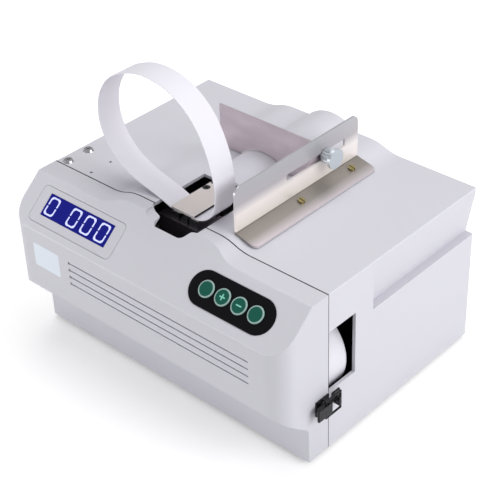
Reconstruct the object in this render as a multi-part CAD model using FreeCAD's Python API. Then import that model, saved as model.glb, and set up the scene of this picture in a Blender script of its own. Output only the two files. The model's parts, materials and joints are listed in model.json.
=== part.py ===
"""Counter-top machine that wraps a paper band round a bundle of banknotes.

Millimetres. +X runs along the front to the operator's right, +Y from front to back, +Z up.
The origin is the middle of the base plate's underside, with the rubber feet below it.
"""

import FreeCAD
import Part
import math
import os

V = FreeCAD.Vector

# Casing
CASE_WIDTH = 260.0
BASE_DEPTH = 184.0
CASE_HEIGHT = 130.0
WALL = 2.5
FOOT_HEIGHT = 3.0
SEAM_FROM_FRONT = 20.5
SEAM_GAP = 0.4
EDGE_RADIUS = 1.0

# Front housing
OVERHANG = 27.0
PLINTH_HEIGHT = 29.0
NOSE_BOTTOM = 51.5
CREASE_HEIGHT = 103.5
TOP_LEDGE = 16.5
NOSE_RADIUS = 15.0
CREASE_RADIUS = 2.5
BELLY_RADIUS = 6.0
VENT_COUNT = 4
VENT_LENGTH = 171.0
VENT_HEIGHT = 1.3
VENT_DEPTH = 1.2
VENT_PITCH = 6.0
VENT_TOP = 90.2
VENT_MIDDLE_X = 16.5

# Raised back of the cover over the strapping head and the strap slide
HUMP_LEFT = -68.0
HUMP_RIGHT = 64.0
HUMP_FLANK = 29.0
HUMP_HEIGHT = 5.6
RIDGE_X = -1.0
RIDGE_HALF_WIDTH = 22.0
RIDGE_HEIGHT = 8.9
RIDGE_FRONT_Y = 8.0
RIDGE_FRONT_DROP = 4.0

# Screws, pin holes and slots of the cover
COVER_SCREW_RADIUS = 2.0
COVER_HEAD_RADIUS = 4.2
COVER_HEAD_HEIGHT = 1.6
COVER_SCREW_FROM_SIDE = 8.0
PIN_HOLE_FROM_SIDE = 33.0
PIN_HOLE_RADIUS = 1.2
REAR_VENTS = 7
REAR_VENT_X = 60.0
REAR_VENT_Z = 40.0
REAR_VENT_PITCH = 7.0
REAR_VENT_LENGTH = 70.0
REAR_VENT_HEIGHT = 3.0

# Rubber feet
FOOT_RADIUS = 9.0
FOOT_STEM_RADIUS = 3.0
FOOT_FROM_SIDE = 24.0
FOOT_FROM_FRONT = 22.0

# Hand holds in the cover's sides
SCOOP_DEPTH = 6.5
SCOOP_BELOW_TOP = 2.0
SCOOP_HEIGHT = 37.0
SCOOP_FRONT_Y = -25.0

# Opening over the strapping head
HEAD_LEFT = -25.5
HEAD_RIGHT = 23.5
HEAD_BACK_Y = -22.0
HEAD_REACH = 16.0
THUMB_RADIUS = 7.5
THUMB_DEPTH = 1.4
THUMB_PLACE = (-16.5, -79.5)
THUMB_LEAN = 14.0

# Window beside the paper roll
WINDOW_DEPTH = 28.0
WINDOW_BOTTOM = 49.0
WINDOW_TOP = 99.5

# Display
BEZEL_WIDTH = 85.0
BEZEL_HEIGHT = 28.0
BEZEL_THICK = 1.6
BEZEL_RADIUS = 4.0
BEZEL_X = -73.8
BEZEL_UP = 19.8
BEZEL_CLEAR = 0.3
LCD_WIDTH = 67.0
LCD_HEIGHT = 17.6
LCD_THICK = 1.2
LCD_UP = 20.9
LCD_CLEAR = 0.15
LCD_BOARD_THICK = 6.0

# Keypad
KEYPAD_WIDTH = 72.0
KEYPAD_HEIGHT = 25.2
KEYPAD_THICK = 1.0
KEYPAD_SUNK = 0.5
KEYPAD_X = 75.2
KEYPAD_UP = 20.1
KEY_COUNT = 4
KEY_PITCH = 14.4
KEY_RADIUS = 6.2
KEY_CLEAR = 0.3
KEY_PROUD = 0.9
KEY_TRAVEL = 0.6
KEY_FLANGE = 1.2
KEY_FLANGE_THICK = 0.8
KEY_STEM_RADIUS = 2.0
KEY_BOARD_GAP = 2.4
KEY_BOARD_THICK = 1.6

# Paper band
BAND_WIDTH = 20.0
BAND_MIDDLE_Y = -56.0
BAND_THICK = 0.5
ROLL_RADIUS = 36.0
ROLL_FROM_SIDE = 41.5
ROLL_Z = 58.0
CORE_RADIUS = 14.0
REEL_FLANGE = 1.2
SPINDLE_RADIUS = 5.0
RUNNING_CLEAR = 0.05

# Sliding tongue that the band closes round
TONGUE_WIDTH = 22.0
TONGUE_X = -4.0
TONGUE_THICK = 1.4
TONGUE_SUNK = 0.8
TONGUE_TRAVEL = 22.0
TONGUE_FRONT_Y = -66.5
TONGUE_BACK_Y = -20.0
CARRIAGE_LENGTH = 18.0
CARRIAGE_HEIGHT = 14.0
ROD_RADIUS = 2.5
ROD_SPREAD = 14.0
ROD_BACK_Y = 14.0

# Press blocks and camshaft
PRESS_WIDTH = 7.0
PRESS_PITCH = 8.5
PRESS_TRAVEL = 2.5
PRESS_DEPTH = 19.0
PRESS_CLEAR = 0.2
CAM_BELOW_TONGUE = 54.8
CAM_RADIUS = 11.0
CAM_LIFT = 3.0
CAM_THICK = 6.0
CAMSHAFT_RADIUS = 4.0
CAM_GAP = 0.4
GUIDE_BELOW_TONGUE = 10.8
GUIDE_HEIGHT = 20.0
PLATE_THICK = 3.0
BUSH_WALL = 1.5
BUSH_FLANGE = 2.0

# Gear pair and motors
GEAR_MODULE = 1.0
GEAR_TEETH = 48
PINION_TEETH = 12
GEAR_WIDTH = 6.0
MOTOR_RADIUS = 18.0
MOTOR_LENGTH = 56.0
FEED_ROLLER_RADIUS = 8.0
PINCH_ROLLER_RADIUS = 6.0
FEED_X = 37.0
FEED_ABOVE_CAMS = 18.0
ROLLER_GAP = 0.6
FEED_THICK = 0.2
FEED_MOTOR_RADIUS = 12.0
FEED_MOTOR_LENGTH = 34.0

# Banknote fence
FENCE_X = 43.0
FENCE_THICK = 1.5
FENCE_LENGTH = 130.0
FENCE_MIDDLE_Y = 0.5
FENCE_RISE = 40.5
FENCE_FLANGE = 19.0
FENCE_CORNER = 6.0
FENCE_SCREW_RADIUS = 1.9
FENCE_HEAD_RADIUS = 2.7
FENCE_HEAD_HEIGHT = 1.6
FLANGE_CORNER = 4.0
SLOT_HEIGHT = 5.6
SLOT_BELOW_TOP = 16.3
SLOT_FRONT_Y = -12.5
SLOT_BACK_Y = 50.5
STOP_Y = 14.6
STOP_THICK = 1.5
STOP_LEFT = -43.0
STOP_CLEAR = 0.6
CLAMP_AHEAD = 14.0
CLAMP_HEAD_RADIUS = 7.6
CLAMP_HEAD_THICK = 2.4
CLAMP_NECK_RADIUS = 5.6
CLAMP_NECK = 7.6
CLAMP_KNURLS = 16
CLAMP_SHANK_RADIUS = 2.5
CLAMP_NUT_RADIUS = 4.6

# Toggle latch across the right-hand seam
LATCH_Z = 43.0
LATCH_PLATE_THICK = 1.2
LATCH_PIVOT_AHEAD = 6.0
LATCH_PIVOT_OUT = 5.0
LATCH_PIN_RADIUS = 1.0
LEVER_LENGTH = 13.0
LEVER_THICK = 2.2
LEVER_WIDTH = 9.0
BAIL_WIRE = 0.8
BAIL_REACH = 15.0
BAIL_OFFSET = 3.4

# Rear panel
INLET_X = -86.0
INLET_Z = 34.0
INLET_WIDTH = 27.0
INLET_HEIGHT = 20.0
INLET_DEPTH = 17.0
SWITCH_X = -52.0
SWITCH_WIDTH = 13.0
SWITCH_HEIGHT = 19.0
PANEL_LIP = 2.0
PANEL_CLEAR = 0.3
INLET_SKIN = 1.6
INLET_EAR = 8.0
PIN_WIDTH = 2.0
PIN_HEIGHT = 4.0
SWITCH_DEPTH = 16.0
SWITCH_SKIN = 1.5

# Control board and transformer on the base plate
BOARD_FROM_SIDE = 12.0
BOARD_FROM_BACK = 22.0
BOARD_WIDTH = 78.0
BOARD_DEPTH = 46.0
BOARD_LIFT = 6.0
BOARD_THICK = 1.6
BOARD_EDGE = 5.0
RELAY_PITCH = 20.0
RELAY_LENGTH = 14.0
RELAY_WIDTH = 12.0
RELAY_HEIGHT = 7.0
CAPACITOR_RADIUS = 5.0
CAPACITOR_HEIGHT = 17.0
CAPACITOR_PITCH = 26.0
TRANSFORMER_FROM_SIDE = 64.0
TRANSFORMER_FROM_BACK = 50.0
CORE_WIDTH = 60.0
CORE_DEPTH = 40.0
CORE_HEIGHT = 47.0
WINDING_INSET = 12.0
WINDING_PROUD = 8.0
FOOT_PLATE = 3.0
FOOT_REACH = 10.0
FOOT_DEPTH = 28.0

# Values that follow from the ones above
HALF = CASE_WIDTH / 2
BACK_Y = BASE_DEPTH / 2
FRONT_Y = -BACK_Y
SEAM_Y = FRONT_Y + SEAM_FROM_FRONT
NOSE_Y = FRONT_Y - OVERHANG
BREAK_Y = SEAM_Y - TOP_LEDGE
HUMP_TOP = CASE_HEIGHT + HUMP_HEIGHT
COVER_SCREW_X = COVER_SCREW_FROM_SIDE - HALF
PIN_HOLE_X = PIN_HOLE_FROM_SIDE - HALF
SCOOP_TOP = CASE_HEIGHT - SCOOP_BELOW_TOP
SCOOP_BOTTOM = SCOOP_TOP - SCOOP_HEIGHT
ROLL_X = HALF - ROLL_FROM_SIDE
TONGUE_TOP = HUMP_TOP - TONGUE_SUNK
CAM_Z = TONGUE_TOP - CAM_BELOW_TONGUE
GUIDE_TOP = TONGUE_TOP - GUIDE_BELOW_TONGUE
GUIDE_BOTTOM = GUIDE_TOP - GUIDE_HEIGHT
FEED_Z = CAM_Z + FEED_ABOVE_CAMS
FENCE_TOP = CASE_HEIGHT + FENCE_RISE
SLOT_Z = FENCE_TOP - SLOT_BELOW_TOP
RIDGE_RADIUS = (RIDGE_HALF_WIDTH**2 + RIDGE_HEIGHT**2) / (2 * RIDGE_HEIGHT)
RIDGE_Z = HUMP_TOP + RIDGE_HEIGHT - RIDGE_RADIUS
SLOPE_RUN = BREAK_Y - NOSE_Y
SLOPE_RISE = CASE_HEIGHT - CREASE_HEIGHT
PANEL_LENGTH = math.hypot(SLOPE_RUN, SLOPE_RISE)
PANEL_ANGLE = math.degrees(math.atan2(SLOPE_RISE, SLOPE_RUN))
PANEL = FreeCAD.Placement(V(0, NOSE_Y, CREASE_HEIGHT), FreeCAD.Rotation(V(1, 0, 0), PANEL_ANGLE))
FLOOR_TOP = WALL
BAND_FRONT_Y = BAND_MIDDLE_Y - BAND_WIDTH / 2
BAND_BACK_Y = BAND_MIDDLE_Y + BAND_WIDTH / 2
TONGUE_BOTTOM = TONGUE_TOP - TONGUE_THICK
BAND_Z = TONGUE_BOTTOM - 0.3 - BAND_THICK
PRESS_REST_TOP = BAND_Z - 0.3 - PRESS_TRAVEL
PRESS_FOOT = CAM_Z + CAM_RADIUS + CAM_GAP
GEAR_DISTANCE = GEAR_MODULE * (GEAR_TEETH + PINION_TEETH) / 2
CAM_Y = BAND_MIDDLE_Y
MOTOR_Y = CAM_Y + GEAR_DISTANCE
PLATE_LEFT = TONGUE_X - TONGUE_WIDTH / 2 - 10.0 - PLATE_THICK
PLATE_RIGHT = TONGUE_X + TONGUE_WIDTH / 2 + 10.0
GEAR_X = PLATE_LEFT - 6.0 - GEAR_WIDTH
MOTOR_PLATE_X = GEAR_X - 4.0 - PLATE_THICK
FENCE_FRONT_Y = FENCE_MIDDLE_Y - FENCE_LENGTH / 2
FENCE_BACK_Y = FENCE_MIDDLE_Y + FENCE_LENGTH / 2
CLAMP_Y = STOP_Y + CLAMP_AHEAD
PINCH_Z = FEED_Z + FEED_ROLLER_RADIUS + PINCH_ROLLER_RADIUS + ROLLER_GAP
NIP_Z = FEED_Z + FEED_ROLLER_RADIUS + ROLLER_GAP / 2
ROD_Z = TONGUE_BOTTOM - CARRIAGE_HEIGHT / 2
PIVOT_Y = SEAM_Y - LATCH_PIVOT_AHEAD
PIVOT_X = HALF + LATCH_PIVOT_OUT
BAIL_X = PIVOT_X + 0.6
BAIL_START_Y = PIVOT_Y - BAIL_OFFSET
BAIL_END_Y = BAIL_START_Y + BAIL_REACH


def box(x0, x1, y0, y1, z0, z1):
    return Part.makeBox(x1 - x0, y1 - y0, z1 - z0, V(x0, y0, z0))


def rod(radius, start, end):
    run = V(*end) - V(*start)
    return Part.makeCylinder(radius, run.Length, V(*start), run)


def fuse(shapes):
    return shapes[0].multiFuse(shapes[1:]).removeSplitter()


def in_plane(axis, level):
    """Returns the map from a 2-D point to the plane where the coordinate axis equals level."""
    if axis == "x":
        return lambda p: V(level, p[0], p[1])
    if axis == "y":
        return lambda p: V(p[0], level, p[1])
    return lambda p: V(p[0], p[1], level)


def outline(points, radii, place):
    """Closed wire through 2-D points, with each corner rounded by its radius."""
    edges = []
    count = len(points)
    starts, ends, middles = [], [], []
    for i in range(count):
        corner = V(*points[i], 0)
        before = V(*points[i - 1], 0) - corner
        after = V(*points[(i + 1) % count], 0) - corner
        before.normalize()
        after.normalize()
        half = before.getAngle(after) / 2
        reach = radii[i] / math.tan(half)
        towards = before + after
        towards.normalize()
        starts.append(corner + before * reach)
        ends.append(corner + after * reach)
        middles.append(corner + towards * (radii[i] / math.sin(half) - radii[i]))
    for i in range(count):
        here, there = ends[i - 1], starts[i]
        if (here - there).Length > 1e-6:
            edges.append(Part.makeLine(place((here.x, here.y)), place((there.x, there.y))))
        if radii[i] > 0:
            arc = [place((p.x, p.y)) for p in (starts[i], middles[i], ends[i])]
            edges.append(Part.Arc(*arc).toShape())
    return Part.Wire(edges)


def prism(axis, points, low, high, radii=None):
    """Solid with a 2-D outline, along the named axis from low to high."""
    place = in_plane(axis, low)
    wire = outline(points, radii or [0] * len(points), place)
    direction = {"x": V(1, 0, 0), "y": V(0, 1, 0), "z": V(0, 0, 1)}[axis]
    return Part.Face(wire).extrude(direction * (high - low))


def inset(points, distance):
    """Moves each side of a counter-clockwise outline inwards by the distance."""
    lines = []
    count = len(points)
    for i in range(count):
        (ax, ay), (bx, by) = points[i], points[(i + 1) % count]
        length = math.hypot(bx - ax, by - ay)
        nx, ny = -(by - ay) / length, (bx - ax) / length
        lines.append((nx, ny, nx * ax + ny * ay + distance))
    moved = []
    for i in range(count):
        (a, b, c), (d, e, f) = lines[i - 1], lines[i]
        det = a * e - b * d
        moved.append(((c * e - b * f) / det, (a * f - c * d) / det))
    return moved


def round_points(radii, u, v):
    """Points spread evenly round u, v, each at its own radius."""
    points = []
    for n, radius in enumerate(radii):
        angle = 2 * math.pi * n / len(radii)
        points.append((u + radius * math.cos(angle), v + radius * math.sin(angle)))
    return points


def plate(width, height, thick, radius, x=0.0, y=0.0, z=0.0):
    """Flat plate with rounded corners, its middle at x, y and its back at z."""
    w, h = width / 2, height / 2
    points = [(x - w, y - h), (x + w, y - h), (x + w, y + h), (x - w, y + h)]
    return prism("z", points, z, z + thick, [radius] * 4)


def on_panel(shape):
    """Moves a shape from the sloped panel's own axes to the machine's."""
    moved = shape.copy()
    moved.Placement = PANEL.multiply(moved.Placement)
    return moved


def hump(drop, front, back):
    """Low swelling along the top of the casing, between two flowing flanks."""
    level = CASE_HEIGHT - drop
    radius = (HUMP_FLANK**2 + HUMP_HEIGHT**2) / (4 * HUMP_HEIGHT)
    sweep = math.asin(HUMP_FLANK / 2 / radius)

    def foot(x, side, turn):
        return V(x + side * radius * math.sin(turn), front, level + radius * (1 - math.cos(turn)))

    def crest(x, side, turn):
        top = level + HUMP_HEIGHT
        return V(x + side * radius * math.sin(turn), front, top - radius * (1 - math.cos(turn)))

    left_crest = HUMP_LEFT + HUMP_FLANK
    right_crest = HUMP_RIGHT - HUMP_FLANK
    edges = [
        Part.Arc(foot(HUMP_LEFT, 1, 0), foot(HUMP_LEFT, 1, sweep / 2), foot(HUMP_LEFT, 1, sweep)).toShape(),
        Part.Arc(
            crest(left_crest, -1, sweep), crest(left_crest, -1, sweep / 2), crest(left_crest, -1, 0)
        ).toShape(),
        Part.makeLine(crest(left_crest, -1, 0), crest(right_crest, 1, 0)),
        Part.Arc(
            crest(right_crest, 1, 0), crest(right_crest, 1, sweep / 2), crest(right_crest, 1, sweep)
        ).toShape(),
        Part.Arc(
            foot(HUMP_RIGHT, -1, sweep), foot(HUMP_RIGHT, -1, sweep / 2), foot(HUMP_RIGHT, -1, 0)
        ).toShape(),
    ]
    low_right = V(HUMP_RIGHT, front, level - WALL)
    low_left = V(HUMP_LEFT, front, level - WALL)
    edges += [
        Part.makeLine(foot(HUMP_RIGHT, -1, 0), low_right),
        Part.makeLine(low_right, low_left),
        Part.makeLine(low_left, foot(HUMP_LEFT, 1, 0)),
    ]
    return Part.Face(Part.Wire(edges)).extrude(V(0, back - front, 0))


def ridge(radius, back):
    """Rounded back along the hump; towards the strapping head its crown runs gently down."""
    body = rod(radius, (RIDGE_X, RIDGE_FRONT_Y, RIDGE_Z), (RIDGE_X, back, RIDGE_Z))
    fall = RIDGE_FRONT_DROP / (RIDGE_FRONT_Y - HEAD_BACK_Y)
    far = RIDGE_FRONT_Y - SEAM_Y
    nose = rod(radius, (RIDGE_X, SEAM_Y, RIDGE_Z - far * fall), (RIDGE_X, RIDGE_FRONT_Y, RIDGE_Z))
    knee = Part.makeSphere(radius, V(RIDGE_X, RIDGE_FRONT_Y, RIDGE_Z))
    above = box(-HALF, HALF, HEAD_BACK_Y - 1, back, HUMP_TOP - 2 * WALL, HUMP_TOP + 2 * RIDGE_HEIGHT)
    return fuse([body, nose, knee]).common(above)


# Casing


def main_cover():
    block = box(-HALF, HALF, SEAM_Y, BACK_Y, 0, CASE_HEIGHT)
    crisp = [
        edge
        for edge in block.Edges
        if abs(abs(edge.CenterOfMass.x) - HALF) < 0.01
        and (abs(edge.CenterOfMass.z - CASE_HEIGHT) < 0.01 or abs(edge.CenterOfMass.y - BACK_Y) < 0.01)
        and edge.CenterOfMass.z > CASE_HEIGHT / 4
    ]
    block = block.makeFillet(EDGE_RADIUS, crisp)
    outside = fuse([block, hump(0, SEAM_Y, BACK_Y), ridge(RIDGE_RADIUS, BACK_Y)])
    inner_back = BACK_Y - WALL
    inside = fuse(
        [
            box(WALL - HALF, HALF - WALL, SEAM_Y - 1, inner_back, -1, CASE_HEIGHT - WALL),
            hump(WALL, SEAM_Y - 1, inner_back),
            ridge(RIDGE_RADIUS - WALL, inner_back),
        ]
    )
    shell = outside.cut(inside)
    for side in (-1, 1):
        skin = HALF - WALL
        lining = [
            (side * (skin + WALL / 2), SCOOP_TOP - WALL / 2),
            (side * skin, SCOOP_TOP - WALL / 2),
            (side * (skin - SCOOP_DEPTH), SCOOP_BOTTOM - WALL),
            (side * (skin + WALL / 2), SCOOP_BOTTOM - WALL),
        ]
        hold = [
            (side * (HALF + 1), SCOOP_TOP),
            (side * HALF, SCOOP_TOP),
            (side * (HALF - SCOOP_DEPTH), SCOOP_BOTTOM),
            (side * (HALF + 1), SCOOP_BOTTOM),
        ]
        shell = shell.fuse(prism("y", lining, SCOOP_FRONT_Y - WALL, inner_back + WALL / 2))
        shell = shell.cut(prism("y", hold, SCOOP_FRONT_Y, BACK_Y + 1))
    high = HUMP_TOP + 2 * RIDGE_HEIGHT
    shell = shell.cut(box(HEAD_LEFT, HEAD_RIGHT, SEAM_Y - 1, HEAD_BACK_Y, CASE_HEIGHT - 2 * WALL, high))
    shell = shell.cut(tongue_way())
    window_back = SEAM_Y + WINDOW_DEPTH
    shell = shell.cut(box(HALF - 2 * WALL, HALF + 1, SEAM_Y - 1, window_back, WINDOW_BOTTOM, WINDOW_TOP))
    shell = shell.cut(inlet_cutout()).cut(switch_cutout())
    hole = rod(FENCE_SCREW_RADIUS + 0.3, (0, 0, -12), (0, 0, 9))
    for x, y in fence_screw_places():
        shell = shell.cut(square_to_flange(hole, x, y))
    for x, y in cover_screw_places():
        shell = shell.cut(rod(COVER_SCREW_RADIUS + 0.2, (x, y, CASE_HEIGHT - 2 * WALL), (x, y, high)))
    for x, y in pin_hole_places():
        shell = shell.cut(rod(PIN_HOLE_RADIUS, (x, y, CASE_HEIGHT - 2 * WALL), (x, y, high)))
    for n in range(REAR_VENTS):
        z = REAR_VENT_Z + n * REAR_VENT_PITCH
        slot = plate(REAR_VENT_LENGTH, REAR_VENT_HEIGHT, 3 * WALL, REAR_VENT_HEIGHT / 2.01)
        slot.Placement = FreeCAD.Placement(
            V(REAR_VENT_X, BACK_Y + WALL, z), FreeCAD.Rotation(V(1, 0, 0), 90)
        )
        shell = shell.cut(slot)
    return shell.removeSplitter()


def tongue_way():
    """Passage under the ridge for the sliding tongue and its carriage."""
    half = TONGUE_WIDTH / 2 + 1
    rear = TONGUE_BACK_Y + TONGUE_TRAVEL + 2
    low, high = CASE_HEIGHT - 2 * WALL, TONGUE_TOP + 0.6
    return box(TONGUE_X - half, TONGUE_X + half, HEAD_BACK_Y - 1, rear, low, high)


def housing_sides():
    """Side view of the front housing, anticlockwise seen from +X, with its corner radii."""
    points = [
        (SEAM_Y, 0),
        (SEAM_Y, CASE_HEIGHT),
        (BREAK_Y, CASE_HEIGHT),
        (NOSE_Y, CREASE_HEIGHT),
        (NOSE_Y, NOSE_BOTTOM),
        (FRONT_Y, PLINTH_HEIGHT),
        (FRONT_Y, 0),
    ]
    return points, [0, 0, CREASE_RADIUS, CREASE_RADIUS, BELLY_RADIUS, BELLY_RADIUS, 0]


def front_housing():
    back = SEAM_Y - SEAM_GAP
    points, radii = housing_sides()
    solid = prism("x", points, -HALF, HALF, radii)
    plan = [(-HALF, NOSE_Y), (HALF, NOSE_Y), (HALF, SEAM_Y), (-HALF, SEAM_Y)]
    solid = solid.common(prism("z", plan, 0, CASE_HEIGHT, [NOSE_RADIUS, NOSE_RADIUS, 0, 0]))
    rise = 2 * HUMP_HEIGHT
    run = rise * SLOPE_RUN / SLOPE_RISE
    below = [
        (SEAM_Y, CASE_HEIGHT - WALL),
        (SEAM_Y, CASE_HEIGHT + rise),
        (BREAK_Y + run, CASE_HEIGHT + rise),
        (BREAK_Y - run * WALL / rise, CASE_HEIGHT - WALL),
    ]
    swell = hump(0, NOSE_Y, SEAM_Y).common(prism("x", below, -HALF, HALF))
    outside = solid.fuse(swell)
    open_points = [(y + 4 * WALL if y == SEAM_Y else y, z if z else -4 * WALL) for y, z in points]
    inner_points = inset(open_points, WALL)
    inner_radii = [max(r - WALL, 0) for r in radii]
    core = prism("x", inner_points, WALL - HALF, HALF - WALL, inner_radii)
    inner_plan = [
        (WALL - HALF, NOSE_Y + WALL),
        (HALF - WALL, NOSE_Y + WALL),
        (HALF - WALL, SEAM_Y + WALL),
        (WALL - HALF, SEAM_Y + WALL),
    ]
    bend = NOSE_RADIUS - WALL
    core = core.common(prism("z", inner_plan, -WALL, CASE_HEIGHT, [bend, bend, 0, 0]))
    slant = math.hypot(SLOPE_RUN, SLOPE_RISE) / SLOPE_RISE * WALL
    inner_swell = hump(WALL, NOSE_Y, SEAM_Y + WALL).common(
        prism("x", [(y + slant if y < SEAM_Y else y + WALL, z) for y, z in below], -HALF, HALF)
    )
    shell = outside.cut(core.fuse(inner_swell))
    shell = shell.cut(box(-HALF - 1, HALF + 1, back, SEAM_Y + 1, 0, HUMP_TOP + 1))
    shell = shell.cut(head_mouth())
    for n in range(VENT_COUNT):
        z = VENT_TOP - n * VENT_PITCH
        left, right = VENT_MIDDLE_X - VENT_LENGTH / 2, VENT_MIDDLE_X + VENT_LENGTH / 2
        low, high = z - VENT_HEIGHT / 2, z + VENT_HEIGHT / 2
        groove = box(left, right, NOSE_Y - 1, NOSE_Y + VENT_DEPTH, low, high)
        dot = rod(VENT_HEIGHT, (left, NOSE_Y - 1, z), (left, NOSE_Y + VENT_DEPTH, z))
        shell = shell.cut(groove.fuse(dot))
    pocket = plate(
        BEZEL_WIDTH + 2 * BEZEL_CLEAR,
        BEZEL_HEIGHT + 2 * BEZEL_CLEAR,
        BEZEL_THICK + 1,
        BEZEL_RADIUS + BEZEL_CLEAR,
        BEZEL_X,
        BEZEL_UP,
        -BEZEL_THICK,
    )
    sight = plate(LCD_WIDTH, LCD_HEIGHT, 2 * WALL, 0.5, BEZEL_X, LCD_UP, -1.5 * WALL)
    seat = plate(
        KEYPAD_WIDTH + 2 * BEZEL_CLEAR,
        KEYPAD_HEIGHT + 2 * BEZEL_CLEAR,
        KEYPAD_THICK + 1,
        KEYPAD_HEIGHT / 2.01 + BEZEL_CLEAR,
        KEYPAD_X,
        KEYPAD_UP,
        -KEYPAD_SUNK,
    )
    cuts = [pocket, sight, seat]
    for x in key_places():
        cuts.append(rod(KEY_RADIUS + KEY_CLEAR, (x, KEYPAD_UP, -2 * WALL), (x, KEYPAD_UP, WALL)))
    return shell.cut(on_panel(Part.makeCompound(cuts))).removeSplitter()


def head_mouth():
    """Opening in the housing in front of the strapping head, with a round thumb scoop at its left."""
    tip_y = SEAM_Y - HEAD_REACH
    points = [
        (HEAD_LEFT, SEAM_Y + 1),
        (HEAD_LEFT, SEAM_Y - 2.5),
        (-18.7, SEAM_Y - 6.5),
        (-12.0, SEAM_Y - 8.5),
        (-12.5, tip_y),
        (14.0, tip_y),
        (19.0, SEAM_Y - 10.5),
        (HEAD_RIGHT, SEAM_Y - 8.5),
        (HEAD_RIGHT, SEAM_Y + 1),
    ]
    bends = [0, 2.0, 6.0, 1.5, 3.0, 8.0, 3.0, 1.0, 0]
    mouth = prism("z", points[::-1], CASE_HEIGHT - 3 * WALL, HUMP_TOP + 3 * WALL, bends[::-1])
    scoop = rod(THUMB_RADIUS, (0, 0, -THUMB_DEPTH), (0, 0, 3 * WALL))
    scoop.Placement = FreeCAD.Placement(V(*THUMB_PLACE, HUMP_TOP), FreeCAD.Rotation(V(1, 0, 0), THUMB_LEAN))
    return mouth.fuse(scoop)


def base_plate():
    slack = 0.4
    skin = WALL + slack
    floor = box(skin - HALF, HALF - skin, FRONT_Y + skin, BACK_Y - skin, 0, FLOOR_TOP)
    for x, y in foot_places():
        floor = floor.cut(rod(FOOT_STEM_RADIUS + 0.1, (x, y, -1), (x, y, FLOOR_TOP + 1)))
    return floor


def rubber_feet():
    feet = []
    for x, y in foot_places():
        pad = Part.makeCone(FOOT_RADIUS - 1, FOOT_RADIUS, FOOT_HEIGHT, V(x, y, -FOOT_HEIGHT))
        stem = rod(FOOT_STEM_RADIUS, (x, y, -1), (x, y, FLOOR_TOP + 0.5))
        feet.append(pad.fuse(stem))
    return Part.makeCompound(feet)


def corner_bracket():
    """Folded sheet under the cover's left front corner, which the two cover screws hold."""
    top = CASE_HEIGHT - WALL
    shelf = box(COVER_SCREW_X - 4, PIN_HOLE_X + 6, SEAM_Y + 2, SEAM_Y + 30, top - PLATE_THICK, top)
    web = box(PIN_HOLE_X + 3, PIN_HOLE_X + 6, SEAM_Y + 2, SEAM_Y + 22, FLOOR_TOP, top)
    bracket = shelf.fuse(web)
    for x, y in cover_screw_places():
        bracket = bracket.cut(rod(COVER_SCREW_RADIUS + 0.1, (x, y, 0), (x, y, CASE_HEIGHT)))
    for x, y in pin_hole_places():
        bracket = bracket.cut(rod(PIN_HOLE_RADIUS, (x, y, top - 2 * PLATE_THICK), (x, y, CASE_HEIGHT)))
    return bracket.removeSplitter()


def cover_screws():
    screws = []
    for x, y in cover_screw_places():
        place = V(x, y, CASE_HEIGHT)
        head = Part.makeCone(COVER_HEAD_RADIUS, COVER_HEAD_RADIUS - 1, COVER_HEAD_HEIGHT, place)
        low, high = CASE_HEIGHT + COVER_HEAD_HEIGHT / 2, CASE_HEIGHT + 2 * COVER_HEAD_HEIGHT
        recess = box(x - 2, x + 2, y - 0.4, y + 0.4, low, high)
        cross = box(x - 0.4, x + 0.4, y - 2, y + 2, low, high)
        shank = rod(COVER_SCREW_RADIUS, (x, y, CASE_HEIGHT - 9), (x, y, CASE_HEIGHT))
        screws.append(head.cut(recess).cut(cross).fuse(shank))
    return Part.makeCompound(screws)


# Display and keypad


def lcd_bezel():
    frame = plate(BEZEL_WIDTH, BEZEL_HEIGHT, BEZEL_THICK, BEZEL_RADIUS, BEZEL_X, BEZEL_UP, -BEZEL_THICK)
    hole = plate(LCD_WIDTH, LCD_HEIGHT, 3 * BEZEL_THICK, 0.5, BEZEL_X, LCD_UP, -2 * BEZEL_THICK)
    return on_panel(frame.cut(hole))


def lcd_window():
    width, height = LCD_WIDTH - 2 * LCD_CLEAR, LCD_HEIGHT - 2 * LCD_CLEAR
    return on_panel(plate(width, height, LCD_THICK, 0.4, BEZEL_X, LCD_UP, -LCD_THICK - 0.2))


def lcd_board():
    back = -WALL - LCD_BOARD_THICK
    board = plate(LCD_WIDTH + 8, LCD_HEIGHT + 8, 1.6, 1.0, BEZEL_X, LCD_UP, back)
    cell = plate(LCD_WIDTH - 1, LCD_HEIGHT - 1, 4.0 + 0.9, 0.4, BEZEL_X, LCD_UP, back + 1.6)
    posts = []
    for sx in (-1, 1):
        for sy in (-1, 1):
            x, y = BEZEL_X + sx * LCD_WIDTH / 2.2, LCD_UP + sy * (LCD_HEIGHT / 2 + 2.4)
            posts.append(rod(1.5, (x, y, back + 1.6), (x, y, -WALL)))
    return on_panel(fuse([board, cell] + posts))


def keypad_overlay():
    sheet = plate(
        KEYPAD_WIDTH, KEYPAD_HEIGHT, KEYPAD_THICK, KEYPAD_HEIGHT / 2.01, KEYPAD_X, KEYPAD_UP, -KEYPAD_SUNK
    )
    for x in key_places():
        sheet = sheet.cut(rod(KEY_RADIUS + KEY_CLEAR, (x, KEYPAD_UP, -WALL), (x, KEYPAD_UP, WALL)))
    return on_panel(sheet)


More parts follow.
